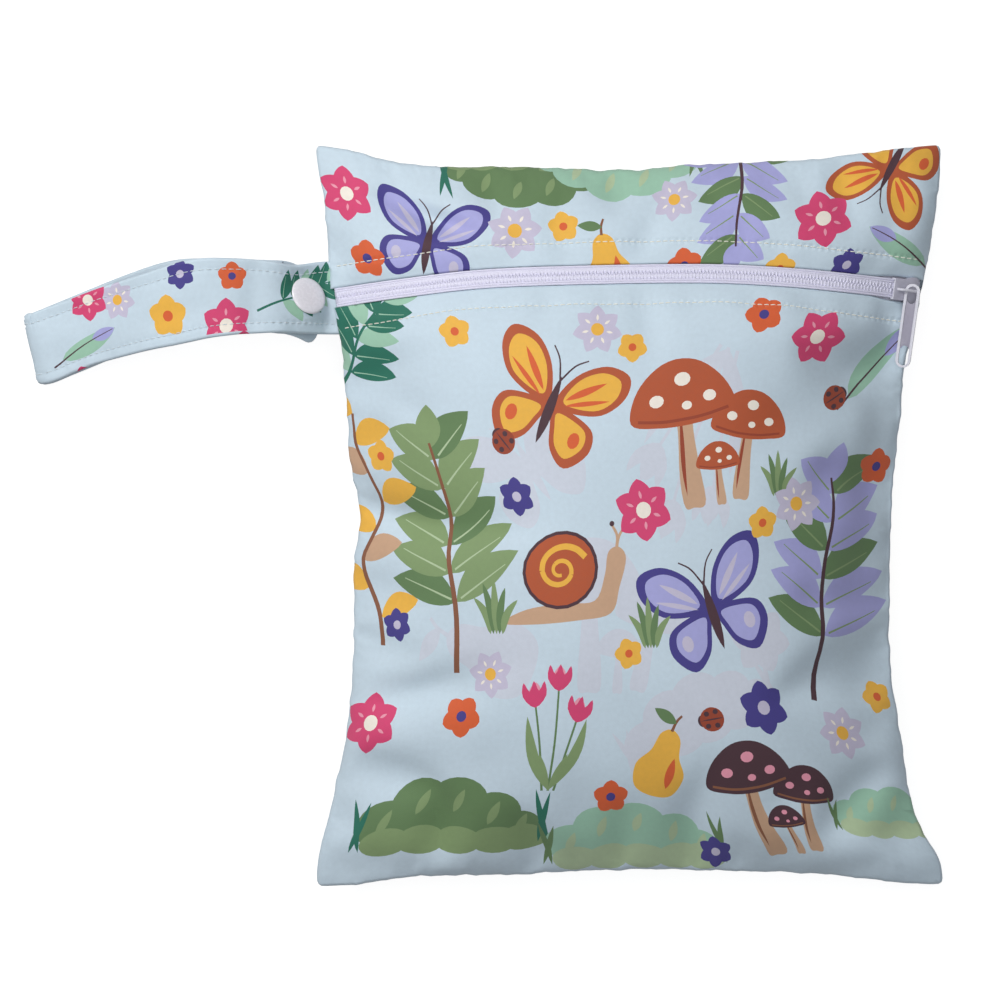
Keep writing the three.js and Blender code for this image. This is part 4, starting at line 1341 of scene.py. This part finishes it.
for name, side, shift in (("upper", 1, 0.0), ("lower", -1, TOOTH_PITCH / 2)):
    teeth = solid_piece("zip_coil_" + name + "_teeth", coil(side, shift), coil_nylon)
    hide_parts("zip_coil_" + name)
    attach(teeth, "bag")


# Zip slider
# A die-cast body, enamelled pale, that runs on the coils, with a low bail for the pull. It stands at
# the right end of the closed zip, and its edges are rounded by the casting. The casting is painted a
# darker enamel as shade, and its bail and left rim are painted pale as highlights.
def enamel_material(name, colour, rough, even=0.0, peel=0.12):
    """A glossy skin, with slight wear in its tone and gloss and a faint orange peel."""
    material, tree, shader = new_material(name)
    place = object_millimetres(tree)
    wear = cloud(tree, place, 1.1, 5.0)
    tone = ranged(tree, wear, 0.95 + even, 1.02 - even / 4, *CLOUD)
    tinted = scaled(tree, tuple(linear(colour)), tone)
    roughness = ranged(tree, wear, rough - 0.06 + even, rough + 0.12 - even)
    finished(tree, shader, tinted, roughness, cloud(tree, place, 4.0, 2.0), peel, 0.1)
    set_sockets(shader, Coat_Weight=0.25, Coat_Roughness=0.15)
    return material


# The pale one is the pull's own colour and, on the slider's bail and left rim, a painted highlight.
pale_enamel_and_highlight = enamel_material("pale enamel and painted highlight", (212, 211, 221), 0.3)
# The slider's body enamel is a darker copy, painted as shade.
shaded_slider_enamel = enamel_material("slider enamel with painted shade", (182, 180, 195), 0.32)
# The grey one is painted shade in the pull's hollows.
hollow_shade_enamel = enamel_material("enamel with painted shade in the hollows", (148, 144, 161), 0.4)


def casting_form(source):
    """A solid of the model as a welded form with whole faces."""
    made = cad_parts[source]
    form = bmesh.new()
    form.from_mesh(made.data)
    form.transform(made.matrix_world)
    bmesh.ops.remove_doubles(form, verts=form.verts, dist=1e-6)
    bmesh.ops.dissolve_limit(form, angle_limit=math.radians(3), verts=form.verts, edges=form.edges)
    return form


def rounded_casting(name, form, radius, material):
    """A casting with its sharp edges rounded off."""
    edges = [edge for edge in form.edges if edge.is_manifold and edge.calc_face_angle() > math.radians(35)]
    bmesh.ops.bevel(
        form, geom=edges, offset=radius * MM, segments=3, profile=0.5, affect="EDGES", clamp_overlap=True
    )
    bmesh.ops.triangulate(form, faces=[face for face in form.faces if len(face.verts) > 4])
    mesh = bpy.data.meshes.new(name)
    form.to_mesh(mesh)
    form.free()
    mesh.polygons.foreach_set("use_smooth", np.ones(len(mesh.polygons), bool))
    mesh.set_sharp_from_angle(angle=math.radians(40))
    mesh.materials.append(material)
    piece = added(name, mesh)
    return piece


SLIDER_ROUND = 0.16
# The bail, above this level, and the left rim are painted pale as highlights; the rest is painted darker as
# shade.
BAIL_LEVEL = 2.0
SLIDER_EDGE = 0.25
slider = rounded_casting("zip_slider_cast", casting_form("zip_slider"), SLIDER_ROUND, shaded_slider_enamel)
slider.data.materials.append(pale_enamel_and_highlight)
for face in slider.data.polygons:
    off = np.array(face.center) / MM - slider_middle
    if off @ zip_up > BAIL_LEVEL or off @ zip_ahead < SLIDER_EDGE - SLIDER_LENGTH / 2:
        face.material_index = 1
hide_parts("zip_slider")
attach(slider, "bag")


# Zip pull
# A flat cast tag with an eye at its top, a slot at its tail and a shallow hollow between them. It
# hangs in the bail, turned half on its side, and swings over it.
PULL_WALL = 1.0
PULL_RECESS = 0.22
PULL_WIDTH = 4.9
PULL_RIM = 0.85
PULL_ROUND = 0.14
EYE_MIDDLE = -8.65
SLOT_MIDDLE = 8.02


def sunk_tag():
    """The tag with its face sunk all the way from the eye to the slot, on both sides."""
    form = casting_form("zip_pull")
    places = np.array([corner.co for corner in form.verts])
    _, _, ways = np.linalg.svd(places - places.mean(axis=0))
    long, wide, deep = (way if way[1] < 0 else -way for way in ways)
    middle = places.mean(axis=0)
    for way in (long, wide, deep):
        spread = (places - middle) @ way
        middle = middle + way * (spread.max() + spread.min()) / 2
    tag = bpy.data.meshes.new("tag")
    form.to_mesh(tag)
    form.free()
    corners, faces = [], []
    for side in (-1, 1):
        first = len(corners)
        for z in (PULL_WALL / 2 - PULL_RECESS, PULL_WALL):
            for x, y in ((EYE_MIDDLE, -1), (SLOT_MIDDLE, -1), (SLOT_MIDDLE, 1), (EYE_MIDDLE, 1)):
                inner = PULL_WIDTH / 2 - PULL_RIM - 0.02
                corners.append(middle + (long * x + wide * y * inner + deep * z * side) * MM)
        sides = [(0, 1, 5, 4), (1, 2, 6, 5), (2, 3, 7, 6), (3, 0, 4, 7), (3, 2, 1, 0), (4, 5, 6, 7)]
        faces += [[first + number for number in face] for face in sides]
    block = bpy.data.meshes.new("block")
    block.from_pydata([tuple(corner) for corner in corners], [], faces)
    rough = bmesh.new()
    rough.from_mesh(block)
    bmesh.ops.recalc_face_normals(rough, faces=rough.faces)
    rough.to_mesh(block)
    rough.free()
    body, cutter = added("tag", tag), added("block", block)
    cut = body.modifiers.new("sunk", "BOOLEAN")
    cut.operation, cut.solver, cut.object = "DIFFERENCE", "EXACT", cutter
    form = bmesh.new()
    form.from_mesh(body.evaluated_get(bpy.context.evaluated_depsgraph_get()).data)
    for piece in (body, cutter):
        bpy.data.objects.remove(piece)
    bmesh.ops.remove_doubles(form, verts=form.verts, dist=1e-6)
    bmesh.ops.dissolve_limit(form, angle_limit=math.radians(3), verts=form.verts, edges=form.edges)
    return form


pull = rounded_casting("zip_pull_cast", sunk_tag(), PULL_ROUND, pale_enamel_and_highlight)
pull.data.materials.append(hollow_shade_enamel)
# The faces sunk below the rim on both broad sides are painted grey, as shade in the hollow.
corners = np.array([corner.co for corner in pull.data.vertices]) / MM
through = np.linalg.svd(corners - corners.mean(axis=0))[2][2]
levels = corners @ through
middle_level = (levels.min() + levels.max()) / 2
for face in pull.data.polygons:
    level = abs(np.array(face.center) @ through / MM - middle_level)
    if level < PULL_WALL / 2 - PULL_RECESS * 0.6 and abs(np.array(face.normal) @ through) > 0.8:
        face.material_index = 1
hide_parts("zip_pull")
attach(pull, "pull")


# Snap loop
# A strip of the printed cloth folded to a doubled band, topstitched along both edges. Its root is
# sewn in the left seam; it runs out, turns back under itself and is snapped to its own root.
STRAP_WALL = 2.0
STRAP_REACH = 97.0
STRAP_CREST = 31.0
STRAP_TUCK = 3.0
FOLD_RADIUS = 3.0
SNAP_FROM_SEAM = 8.4
SNAP_LIFT = 4.4
SNAP_SLOPE = 34.0
SNAP_FLAT = 7.0
SOCKET_WALL = 2.1
STUD_WALL = 0.8
TAIL_SIDE = -0.024
TAIL_LENGTH = 8.6
STRAP_ROW = 3.4
# Each row is how far out, how high, how far aside and how much turned.
LOOP_TOP = [
    (0.19, 0.945, 0.001, 0), (0.26, 0.995, 0.003, 0), (0.33, 1, 0.004, 2), (0.44, 0.955, -0.001, 5),
    (0.56, 0.83, -0.029, 9), (0.68, 0.655, -0.062, 12), (0.8, 0.47, -0.1, 14), (0.9, 0.325, -0.137, 13),
]
LOOP_UNDER = [
    (0.9, 0, -0.135, 12), (0.78, 0, -0.085, 12), (0.64, 0, -0.03, 10), (0.52, 0.025, 0.004, 7),
    (0.41, 0.2, 0.012, 3), (0.31, 0.52, 0.004, 0), (0.245, 0.74, -0.008, -2),
]
seam_root = np.array([left_x(STRAP_LEVEL), plan_y(-1, STRAP_LEVEL), seam_z(-1, STRAP_LEVEL)], float)
slope = math.radians(SNAP_SLOPE)
downhill = np.array([math.cos(slope), 0, -math.sin(slope)])
snap_up = np.array([math.sin(slope), 0, math.cos(slope)])
layer_gap = 3 * GAP + SOCKET_WALL + STUD_WALL
snap_top = seam_root + (-SNAP_FROM_SEAM, 0, SNAP_LIFT)
snap_middle = snap_top - snap_up * (layer_gap + STRAP_WALL) / 2
snap_under = snap_top - snap_up * (layer_gap + STRAP_WALL)


def loop_route():
    rest = STRAP_WALL / 2

    def free(out, up, side, turn):
        place = seam_root[:2] + np.array([-out, side]) * STRAP_REACH
        return (*place, max(up * STRAP_CREST, rest), turn)

    def held(middle, step, side):
        return (*(middle + downhill * step + np.array([0, side * STRAP_REACH, 0])), 0)

    fold_x = seam_root[0] - STRAP_REACH + FOLD_RADIUS + STRAP_WALL / 2
    fold_y = seam_root[1] + ((LOOP_TOP[-1][2] + LOOP_UNDER[0][2]) / 2 - 0.028) * STRAP_REACH
    stops = [(seam_root[0] + STRAP_TUCK, seam_root[1], seam_root[2], 0), (*seam_root, 0)]
    stops += [held(snap_top, step * SNAP_FLAT, 0) for step in (1, 0.6, 0, -0.6, -1)]
    stops += [free(*row) for row in LOOP_TOP]
    for angle in np.radians([20, 90, 160]):
        out_x = fold_x - FOLD_RADIUS * math.sin(angle)
        high = rest + FOLD_RADIUS * (1 + math.cos(angle))
        stops.append((out_x, fold_y, high, LOOP_TOP[-1][3]))
    stops += [free(*row) for row in LOOP_UNDER]
    stops += [held(snap_under, step * SNAP_FLAT, TAIL_SIDE) for step in (-1, -0.6, 0, 0.6)]
    stops.append(held(snap_under, TAIL_LENGTH, TAIL_SIDE))
    return np.array(stops)


def smooth_route(stops, steps):
    """A curve through the stops that doesn't swing out at close ones; the turn goes evenly."""
    place = stops[:, :3]
    place = np.vstack([2 * place[0] - place[1], place, 2 * place[-1] - place[-2]])
    points = []
    for i in range(len(stops) - 1):
        p = place[i:i + 4]
        d0, d1, d2 = np.linalg.norm(np.diff(p, axis=0), axis=1) ** 0.5
        first = d1 * ((p[1] - p[0]) / d0 - (p[2] - p[0]) / (d0 + d1) + (p[2] - p[1]) / d1)
        last = d1 * ((p[2] - p[1]) / d1 - (p[3] - p[1]) / (d1 + d2) + (p[3] - p[2]) / d2)
        for t in np.arange(steps) / steps:
            turn = mix(stops[i, 3], stops[i + 1, 3], t)
            cubic = (2 * p[1] - 2 * p[2] + first + last) * t**3
            cubic = cubic + (-3 * p[1] + 3 * p[2] - 2 * first - last) * t * t + first * t + p[1]
            points.append((*cubic, turn))
    points.append(tuple(stops[-1]))
    return np.array(points)


fine = smooth_route(loop_route(), 24)
fine_run = np.concatenate([[0], np.cumsum(np.linalg.norm(np.diff(fine[:, :3], axis=0), axis=1))])
STRAP_LENGTH = float(fine_run[-1])
STRAP_ROUND = 2 * STRAP_WIDTH + STRAP_WALL * (math.pi - 2)
tail_half = len(fine) // 2
stud_at = snap_under + (0, TAIL_SIDE * STRAP_REACH, 0)
snap_run = float(fine_run[np.argmin(np.linalg.norm(fine[:tail_half, :3] - snap_top, axis=1))])
stud_run = float(fine_run[tail_half + np.argmin(np.linalg.norm(fine[tail_half:, :3] - stud_at, axis=1))])


def strap_frame(run):
    """The middle of the band, its way along, its way across and its way out, at lengths along it."""
    at = np.clip(run, 0.01, STRAP_LENGTH - 0.01)
    here = np.stack([np.interp(at, fine_run, fine[:, k]) for k in range(4)], axis=-1)
    step = 0.6
    behind = np.stack([np.interp(at - step, fine_run, fine[:, k]) for k in range(3)], axis=-1)
    before = np.stack([np.interp(at + step, fine_run, fine[:, k]) for k in range(3)], axis=-1)
    ahead = before - behind
    ahead /= np.linalg.norm(ahead, axis=-1, keepdims=True)
    turn = np.radians(here[..., 3])
    across = np.stack([-np.sin(turn), np.cos(turn), 0 * turn], axis=-1)
    across = across - np.sum(across * ahead, axis=-1, keepdims=True) * ahead
    across /= np.linalg.norm(across, axis=-1, keepdims=True)
    out = np.cross(across, ahead)
    return here[..., :3] + ahead * (run - at)[..., None], ahead, across, out


def strap_section(along_round):
    """Where a place round the band lies: how far across, and how far out."""
    half, wall = STRAP_WIDTH / 2 - STRAP_WALL / 2, STRAP_WALL / 2
    flat, curve = 2 * half, math.pi * wall
    r = np.mod(along_round, 2 * (flat + curve))
    first, second = r < flat, (r >= flat) & (r < flat + curve)
    third = (r >= flat + curve) & (r < 2 * flat + curve)
    a2 = (r - flat) / wall
    a4 = (r - 2 * flat - curve) / wall
    spans = [first, second, third]
    across = np.select(
        spans, [-half + r, half + wall * np.sin(a2), half - (r - flat - curve)], -half - wall * np.sin(a4)
    )
    out = np.select(spans, [wall + 0 * r, wall * np.cos(a2), -wall + 0 * r], -wall * np.cos(a4))
    return across, out


SNAP_TILT = math.radians(20)
sideways = np.cross(snap_up, downhill)


def snap_tilted(point, share):
    """Turns points with the snap, which is pressed down on its upper side, by a share of its tilt."""
    off = point - snap_top
    aside, high = off @ sideways, off @ snap_up
    new_aside = aside * math.cos(SNAP_TILT) + high * math.sin(SNAP_TILT)
    new_high = high * math.cos(SNAP_TILT) - aside * math.sin(SNAP_TILT)
    move = (new_aside - aside)[..., None] * sideways + (new_high - high)[..., None] * snap_up
    return point + move * share[..., None]


fold_run = float(fine_run[np.argmin(fine[:, 0])])


# Where the band is wider than its cut, lies aside underneath, and sags on top: place, reach and amount.
LOOP_WIDER = [(-139, 14, 0.1), (-176, 8, -0.04), (-108, 7, -0.07)]
LOOP_ASIDE = [(-145, 9, 0.5), (-112, 8, 2.6), (-100, 4, -1.6)]
LOOP_SAG = [(-146, 20, 0.7), (-106, 6, 0.5)]


def bells(rows, place):
    return sum(amount * np.exp(-(((place - at) / reach) ** 2)) for at, reach, amount in rows)


def strap_place(x, y):
    """Where a flat place of the strap, along it and round it, lies on the snapped loop."""
    middle, ahead, across, out = strap_frame(x)
    off, lift = strap_section(y)
    flat = np.abs(lift) / (STRAP_WALL / 2)
    edge = STRAP_WIDTH / 2 - np.abs(off)
    under = np.clip((x - fold_run) / 10, 0, 1)
    to_tail = np.clip(1 - (STRAP_LENGTH - x) / 5, 0, 1)
    off = off * np.sqrt(1 - 0.8 * to_tail**2) * (1 - 0.01 * np.exp(-(((x - fold_run) / 2) ** 2)))
    level = middle[..., 0]
    off = off * (1 + bells(LOOP_WIDER, level) * (1 - under))
    aside = bells(LOOP_ASIDE, level)
    middle = middle + under[..., None] * aside[..., None] * np.array([0, 1, 0])
    middle = middle - ((1 - under) * bells(LOOP_SAG, level))[..., None] * np.array([0, 1, 0])
    middle = middle - np.exp(-(((x - fold_run) / 8) ** 2))[..., None] * np.array([0.9, 0, 0])
    dips = 0.7 + 0.3 * np.cos(2 * math.pi * x / STITCH_PITCH)
    groove = 0.2 * np.exp(-(((edge - STRAP_ROW) / 0.9) ** 2)) * dips
    lift = lift * (1 - groove * flat)
    grip = np.exp(-((x / 5) ** 2))
    for pressed in (snap_run, stud_run):
        grip = grip + np.exp(-(((x - pressed) / 8) ** 4))
    loose = np.clip(1 - grip, 0, 1) * (1 - 0.8 * np.exp(-(((x - fold_run) / 9) ** 2)))
    wave, ripple = unevenness(x * 0.055, off * 0.09, 8.1), unevenness(x * 0.25, off * 0.05, 2.4)
    sway = (1.1 * wave + 0.35 * ripple * np.exp(-((edge / 5) ** 2))) * loose
    crease = 0.8 * np.exp(-(((middle[..., 0] + 120) / 4) ** 2)) * (1 - under)
    point = middle + across * off[..., None] + out * (lift + sway - crease)[..., None]
    corner = np.clip(1 - edge / 2.6, 0, 1) ** 2 * np.exp(-(((x - fold_run) / 5) ** 2))
    point[..., 0] += 1.0 * corner
    from_snap = np.hypot((point - snap_top) @ sideways, (point - snap_top) @ downhill)
    point = snap_tilted(point, np.exp(-((from_snap / 8) ** 4)))
    point[..., 2] = np.maximum(point[..., 2], 0.05)
    return point


strap_border = even_border(
    np.array([(0, 0), (STRAP_LENGTH, 0), (STRAP_LENGTH, STRAP_ROUND), (0, STRAP_ROUND)]), 1.2
)
strap_x = np.arange(0.6, STRAP_LENGTH, 1.1)
strap_rows = []
for edge_line in (
    0, STRAP_WIDTH - STRAP_WALL, STRAP_WIDTH - STRAP_WALL + math.pi * STRAP_WALL / 2,
    STRAP_ROUND - math.pi * STRAP_WALL / 2
):
    steps = (-4.0, -3.2, -2.6, -1.8, -0.8, 0, 0.5, 1.05, 1.6, 2.1, 2.6, 3.1, 4.0)
    strap_rows += [np.column_stack([strap_x, 0 * strap_x + edge_line + step]) for step in steps]
turn_x, turn_y = np.meshgrid(fold_run + np.arange(-7, 7.1, 0.5), np.arange(0.8, STRAP_ROUND, 1.3))
strap_rows.append(np.column_stack([turn_x.ravel(), turn_y.ravel()]))
strap_scatter = np.vstack(strap_rows + [inside_grid(0.5, STRAP_LENGTH - 0.5, 0.5, STRAP_ROUND - 0.5, 1.6)])
strap_scatter = strap_scatter[(strap_scatter[:, 1] > 0.2) & (strap_scatter[:, 1] < STRAP_ROUND - 0.2)]
STRAP_LAYOUT = [
    ("sea_sprig", 14, 12, 34, 70),
    ("magenta_daisy", 40, 2, 17, 0),
    ("amber_daisy", 38, 17, 9, 0),
    ("mustard_daisy", 60, 8, 13, 10),
    ("navy_daisy", 53, 19, 9, 10),
    ("lilac_daisy", 76, 17, 13, 10),
    ("feather", 92, 6, 26, 80),
    ("magenta_daisy", 86, 20, 14, 10),
]
for step in (0, 62, 124):
    STRAP_LAYOUT += [
        ("mustard_daisy", 18 + step, 36, 12, 0),
        ("magenta_daisy", 34 + step, 42, 15, 0),
        ("navy_daisy", 50 + step, 32, 10, 0),
        ("feather", 5 + step, 36, 20, 30),
    ]
STRAP_LAYOUT += [
    ("mound", 134, 10, 30, 0),
    ("amber_daisy", 156, 14, 12, 0),
    ("pear", 172, 10, 18, 30),
    ("lilac_daisy", 190, 8, 14, 0),
]
strap = printed_mesh(
    "strap_cloth", strap_border, strap_scatter, STRAP_LAYOUT, strap_place, flip=True, offset=(12, 200)
)
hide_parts("strap")
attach(strap, "bag")


# Snap fastener
# Four moulded parts of glossy white plastic. The cap's post goes through the upper layer into the
# socket below it; the stud on the lower layer is snapped in the socket, with a second cap behind it.
POST_RADIUS = 1.3
STUD_RADIUS = 2.1
STUD_HEIGHT = 1.1


white_plastic = enamel_material("white plastic", (232, 229, 236), 0.24, 0.04, 0.02)


def lathe(profile, sides=56):
    """Rings of a turned form that stands on the snap's middle, one for each row of radius and height."""
    angle = np.linspace(0, 2 * math.pi, sides, endpoint=False)
    rings = []
    for radius, height in profile:
        ring = np.cos(angle)[:, None] * downhill + np.sin(angle)[:, None] * sideways
        rings.append(snap_middle + ring * max(radius, 0.01) + snap_up * height)
    return snap_tilted(np.array(rings), np.ones((len(profile), sides)))


layer_top = layer_gap / 2
cap_base = layer_top + STRAP_WALL + GAP
socket_base = layer_top - GAP - SOCKET_WALL
stud_base = -layer_top + GAP
stud_seat = stud_base + STUD_WALL
bore_top = socket_base + STUD_HEIGHT + GAP
dome = [
    (0.0, 1.4), (1.4, 1.38), (2.8, 1.32), (4.1, 1.2), (5.0, 1.04), (5.6, 0.86), (5.95, 0.68),
    (6.14, 0.46), (6.2, 0.28), (6.12, 0.1), (5.95, 0.0)
]
cap_top = [(radius, cap_base + height) for radius, height in dome]
post = [
    (POST_RADIUS + 0.3, cap_base), (POST_RADIUS, cap_base - 0.3), (POST_RADIUS, bore_top + GAP),
    (0, bore_top + GAP)
]
cap = lathe(cap_top + post)
socket = lathe([
    (POST_RADIUS + GAP, bore_top), (STUD_RADIUS + GAP, bore_top - 0.05),
    (STUD_RADIUS + GAP, socket_base + 0.2),
    (STUD_RADIUS + GAP + 0.2, socket_base), (4.1, socket_base), (4.5, socket_base + 0.3),
    (4.9, socket_base + 0.8),
    (5.1, socket_base + 1.3), (5.1, socket_base + 1.9), (4.95, socket_base + SOCKET_WALL),
    (POST_RADIUS + GAP, socket_base + SOCKET_WALL), (POST_RADIUS + GAP, bore_top),
])
stud = lathe([
    (0, stud_seat + STUD_HEIGHT), (STUD_RADIUS * 0.75, stud_seat + STUD_HEIGHT),
    (STUD_RADIUS * 0.95, stud_seat + 0.8),
    (STUD_RADIUS, stud_seat + 0.4), (STUD_RADIUS * 0.9, stud_seat), (4.7, stud_seat), (5.0, stud_seat - 0.2),
    (5.1, stud_base + 0.2), (4.9, stud_base), (POST_RADIUS + GAP, stud_base),
    (POST_RADIUS + GAP, stud_base + 0.4), (0, stud_base + 0.4),
])
back_tip = stud_base + STUD_WALL / 2 - GAP
back_post = [(0, back_tip), (POST_RADIUS, back_tip), (POST_RADIUS, -cap_base)]
back_cap = lathe(back_post + [(radius, -height) for radius, height in cap_top[::-1]])
for name, rings in (
    ("snap_cap", cap), ("snap_socket", socket), ("snap_stud", stud), ("snap_back_cap", back_cap)
):
    part = solid_piece(name + "_moulded", [rings], white_plastic, sharp=50)
    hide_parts(name)
    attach(part, "bag")


# Topstitching
# Cream thread: one row beside each fold of the zip, and one along each edge of the loop. Every stitch
# is a short piece of thread that dips into the cloth at both ends.
STITCH_LENGTH = 1.65
THREAD = 0.36
STRAP_THREAD = 0.26
cream_thread = yarn_material("cream thread", (238, 236, 224), 0.3, 0.7, 0.4, 0.2)
pale_thread = yarn_material("pale thread", (212, 222, 228), 0.3, 0.7, 0.4, 0.2)


def stitches(place, line, outward, start, stop, thread=THREAD):
    """The stitches of a row: line gives the flat place at a length, and place puts it in the frame."""
    parts = []
    for run in np.arange(start, stop, STITCH_PITCH):
        at = np.array(line(run + np.linspace(-0.5, 0.5, 7) * STITCH_LENGTH)).T
        path = place(at[:, 0], at[:, 1])
        nudge = 0.3
        across = place(at[:, 0] + nudge, at[:, 1]) - place(at[:, 0] - nudge, at[:, 1])
        aside = place(at[:, 0], at[:, 1] + nudge) - place(at[:, 0], at[:, 1] - nudge)
        up = np.cross(across, aside) * outward
        up /= np.linalg.norm(up, axis=1)[:, None]
        share = np.linspace(-1, 1, 7)
        path = path + up * (thread * (0.42 - 0.75 * share**4))[:, None]
        parts.append(tube(path, thread / 2 * (1 - 0.45 * share**4), 6, up=up[3]))
    return parts


for name, place, side in (("lower", lower_place, -1), ("upper", upper_place, 1)):
    line = lambda x, side=side: (x, hem_level(x * 2 / BAG_WIDTH, side))
    row = solid_piece("stitches_" + name, stitches(place, line, 1, -96.5, 96.5), cream_thread)
    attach(row, "bag")

strap_stitches = []
flat_wide = STRAP_WIDTH - STRAP_WALL
for side_start in (0, flat_wide + math.pi * STRAP_WALL / 2):
    for level in (STRAP_ROW - 1 + side_start, flat_wide - STRAP_ROW + 1 + side_start):
        line = lambda x, y=level: (x, 0 * x + y)
        strap_stitches += stitches(strap_place, line, -1, 3, STRAP_LENGTH - 2, STRAP_THREAD)
strap_thread = solid_piece("stitches_strap", strap_stitches, pale_thread)
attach(strap_thread, "bag")
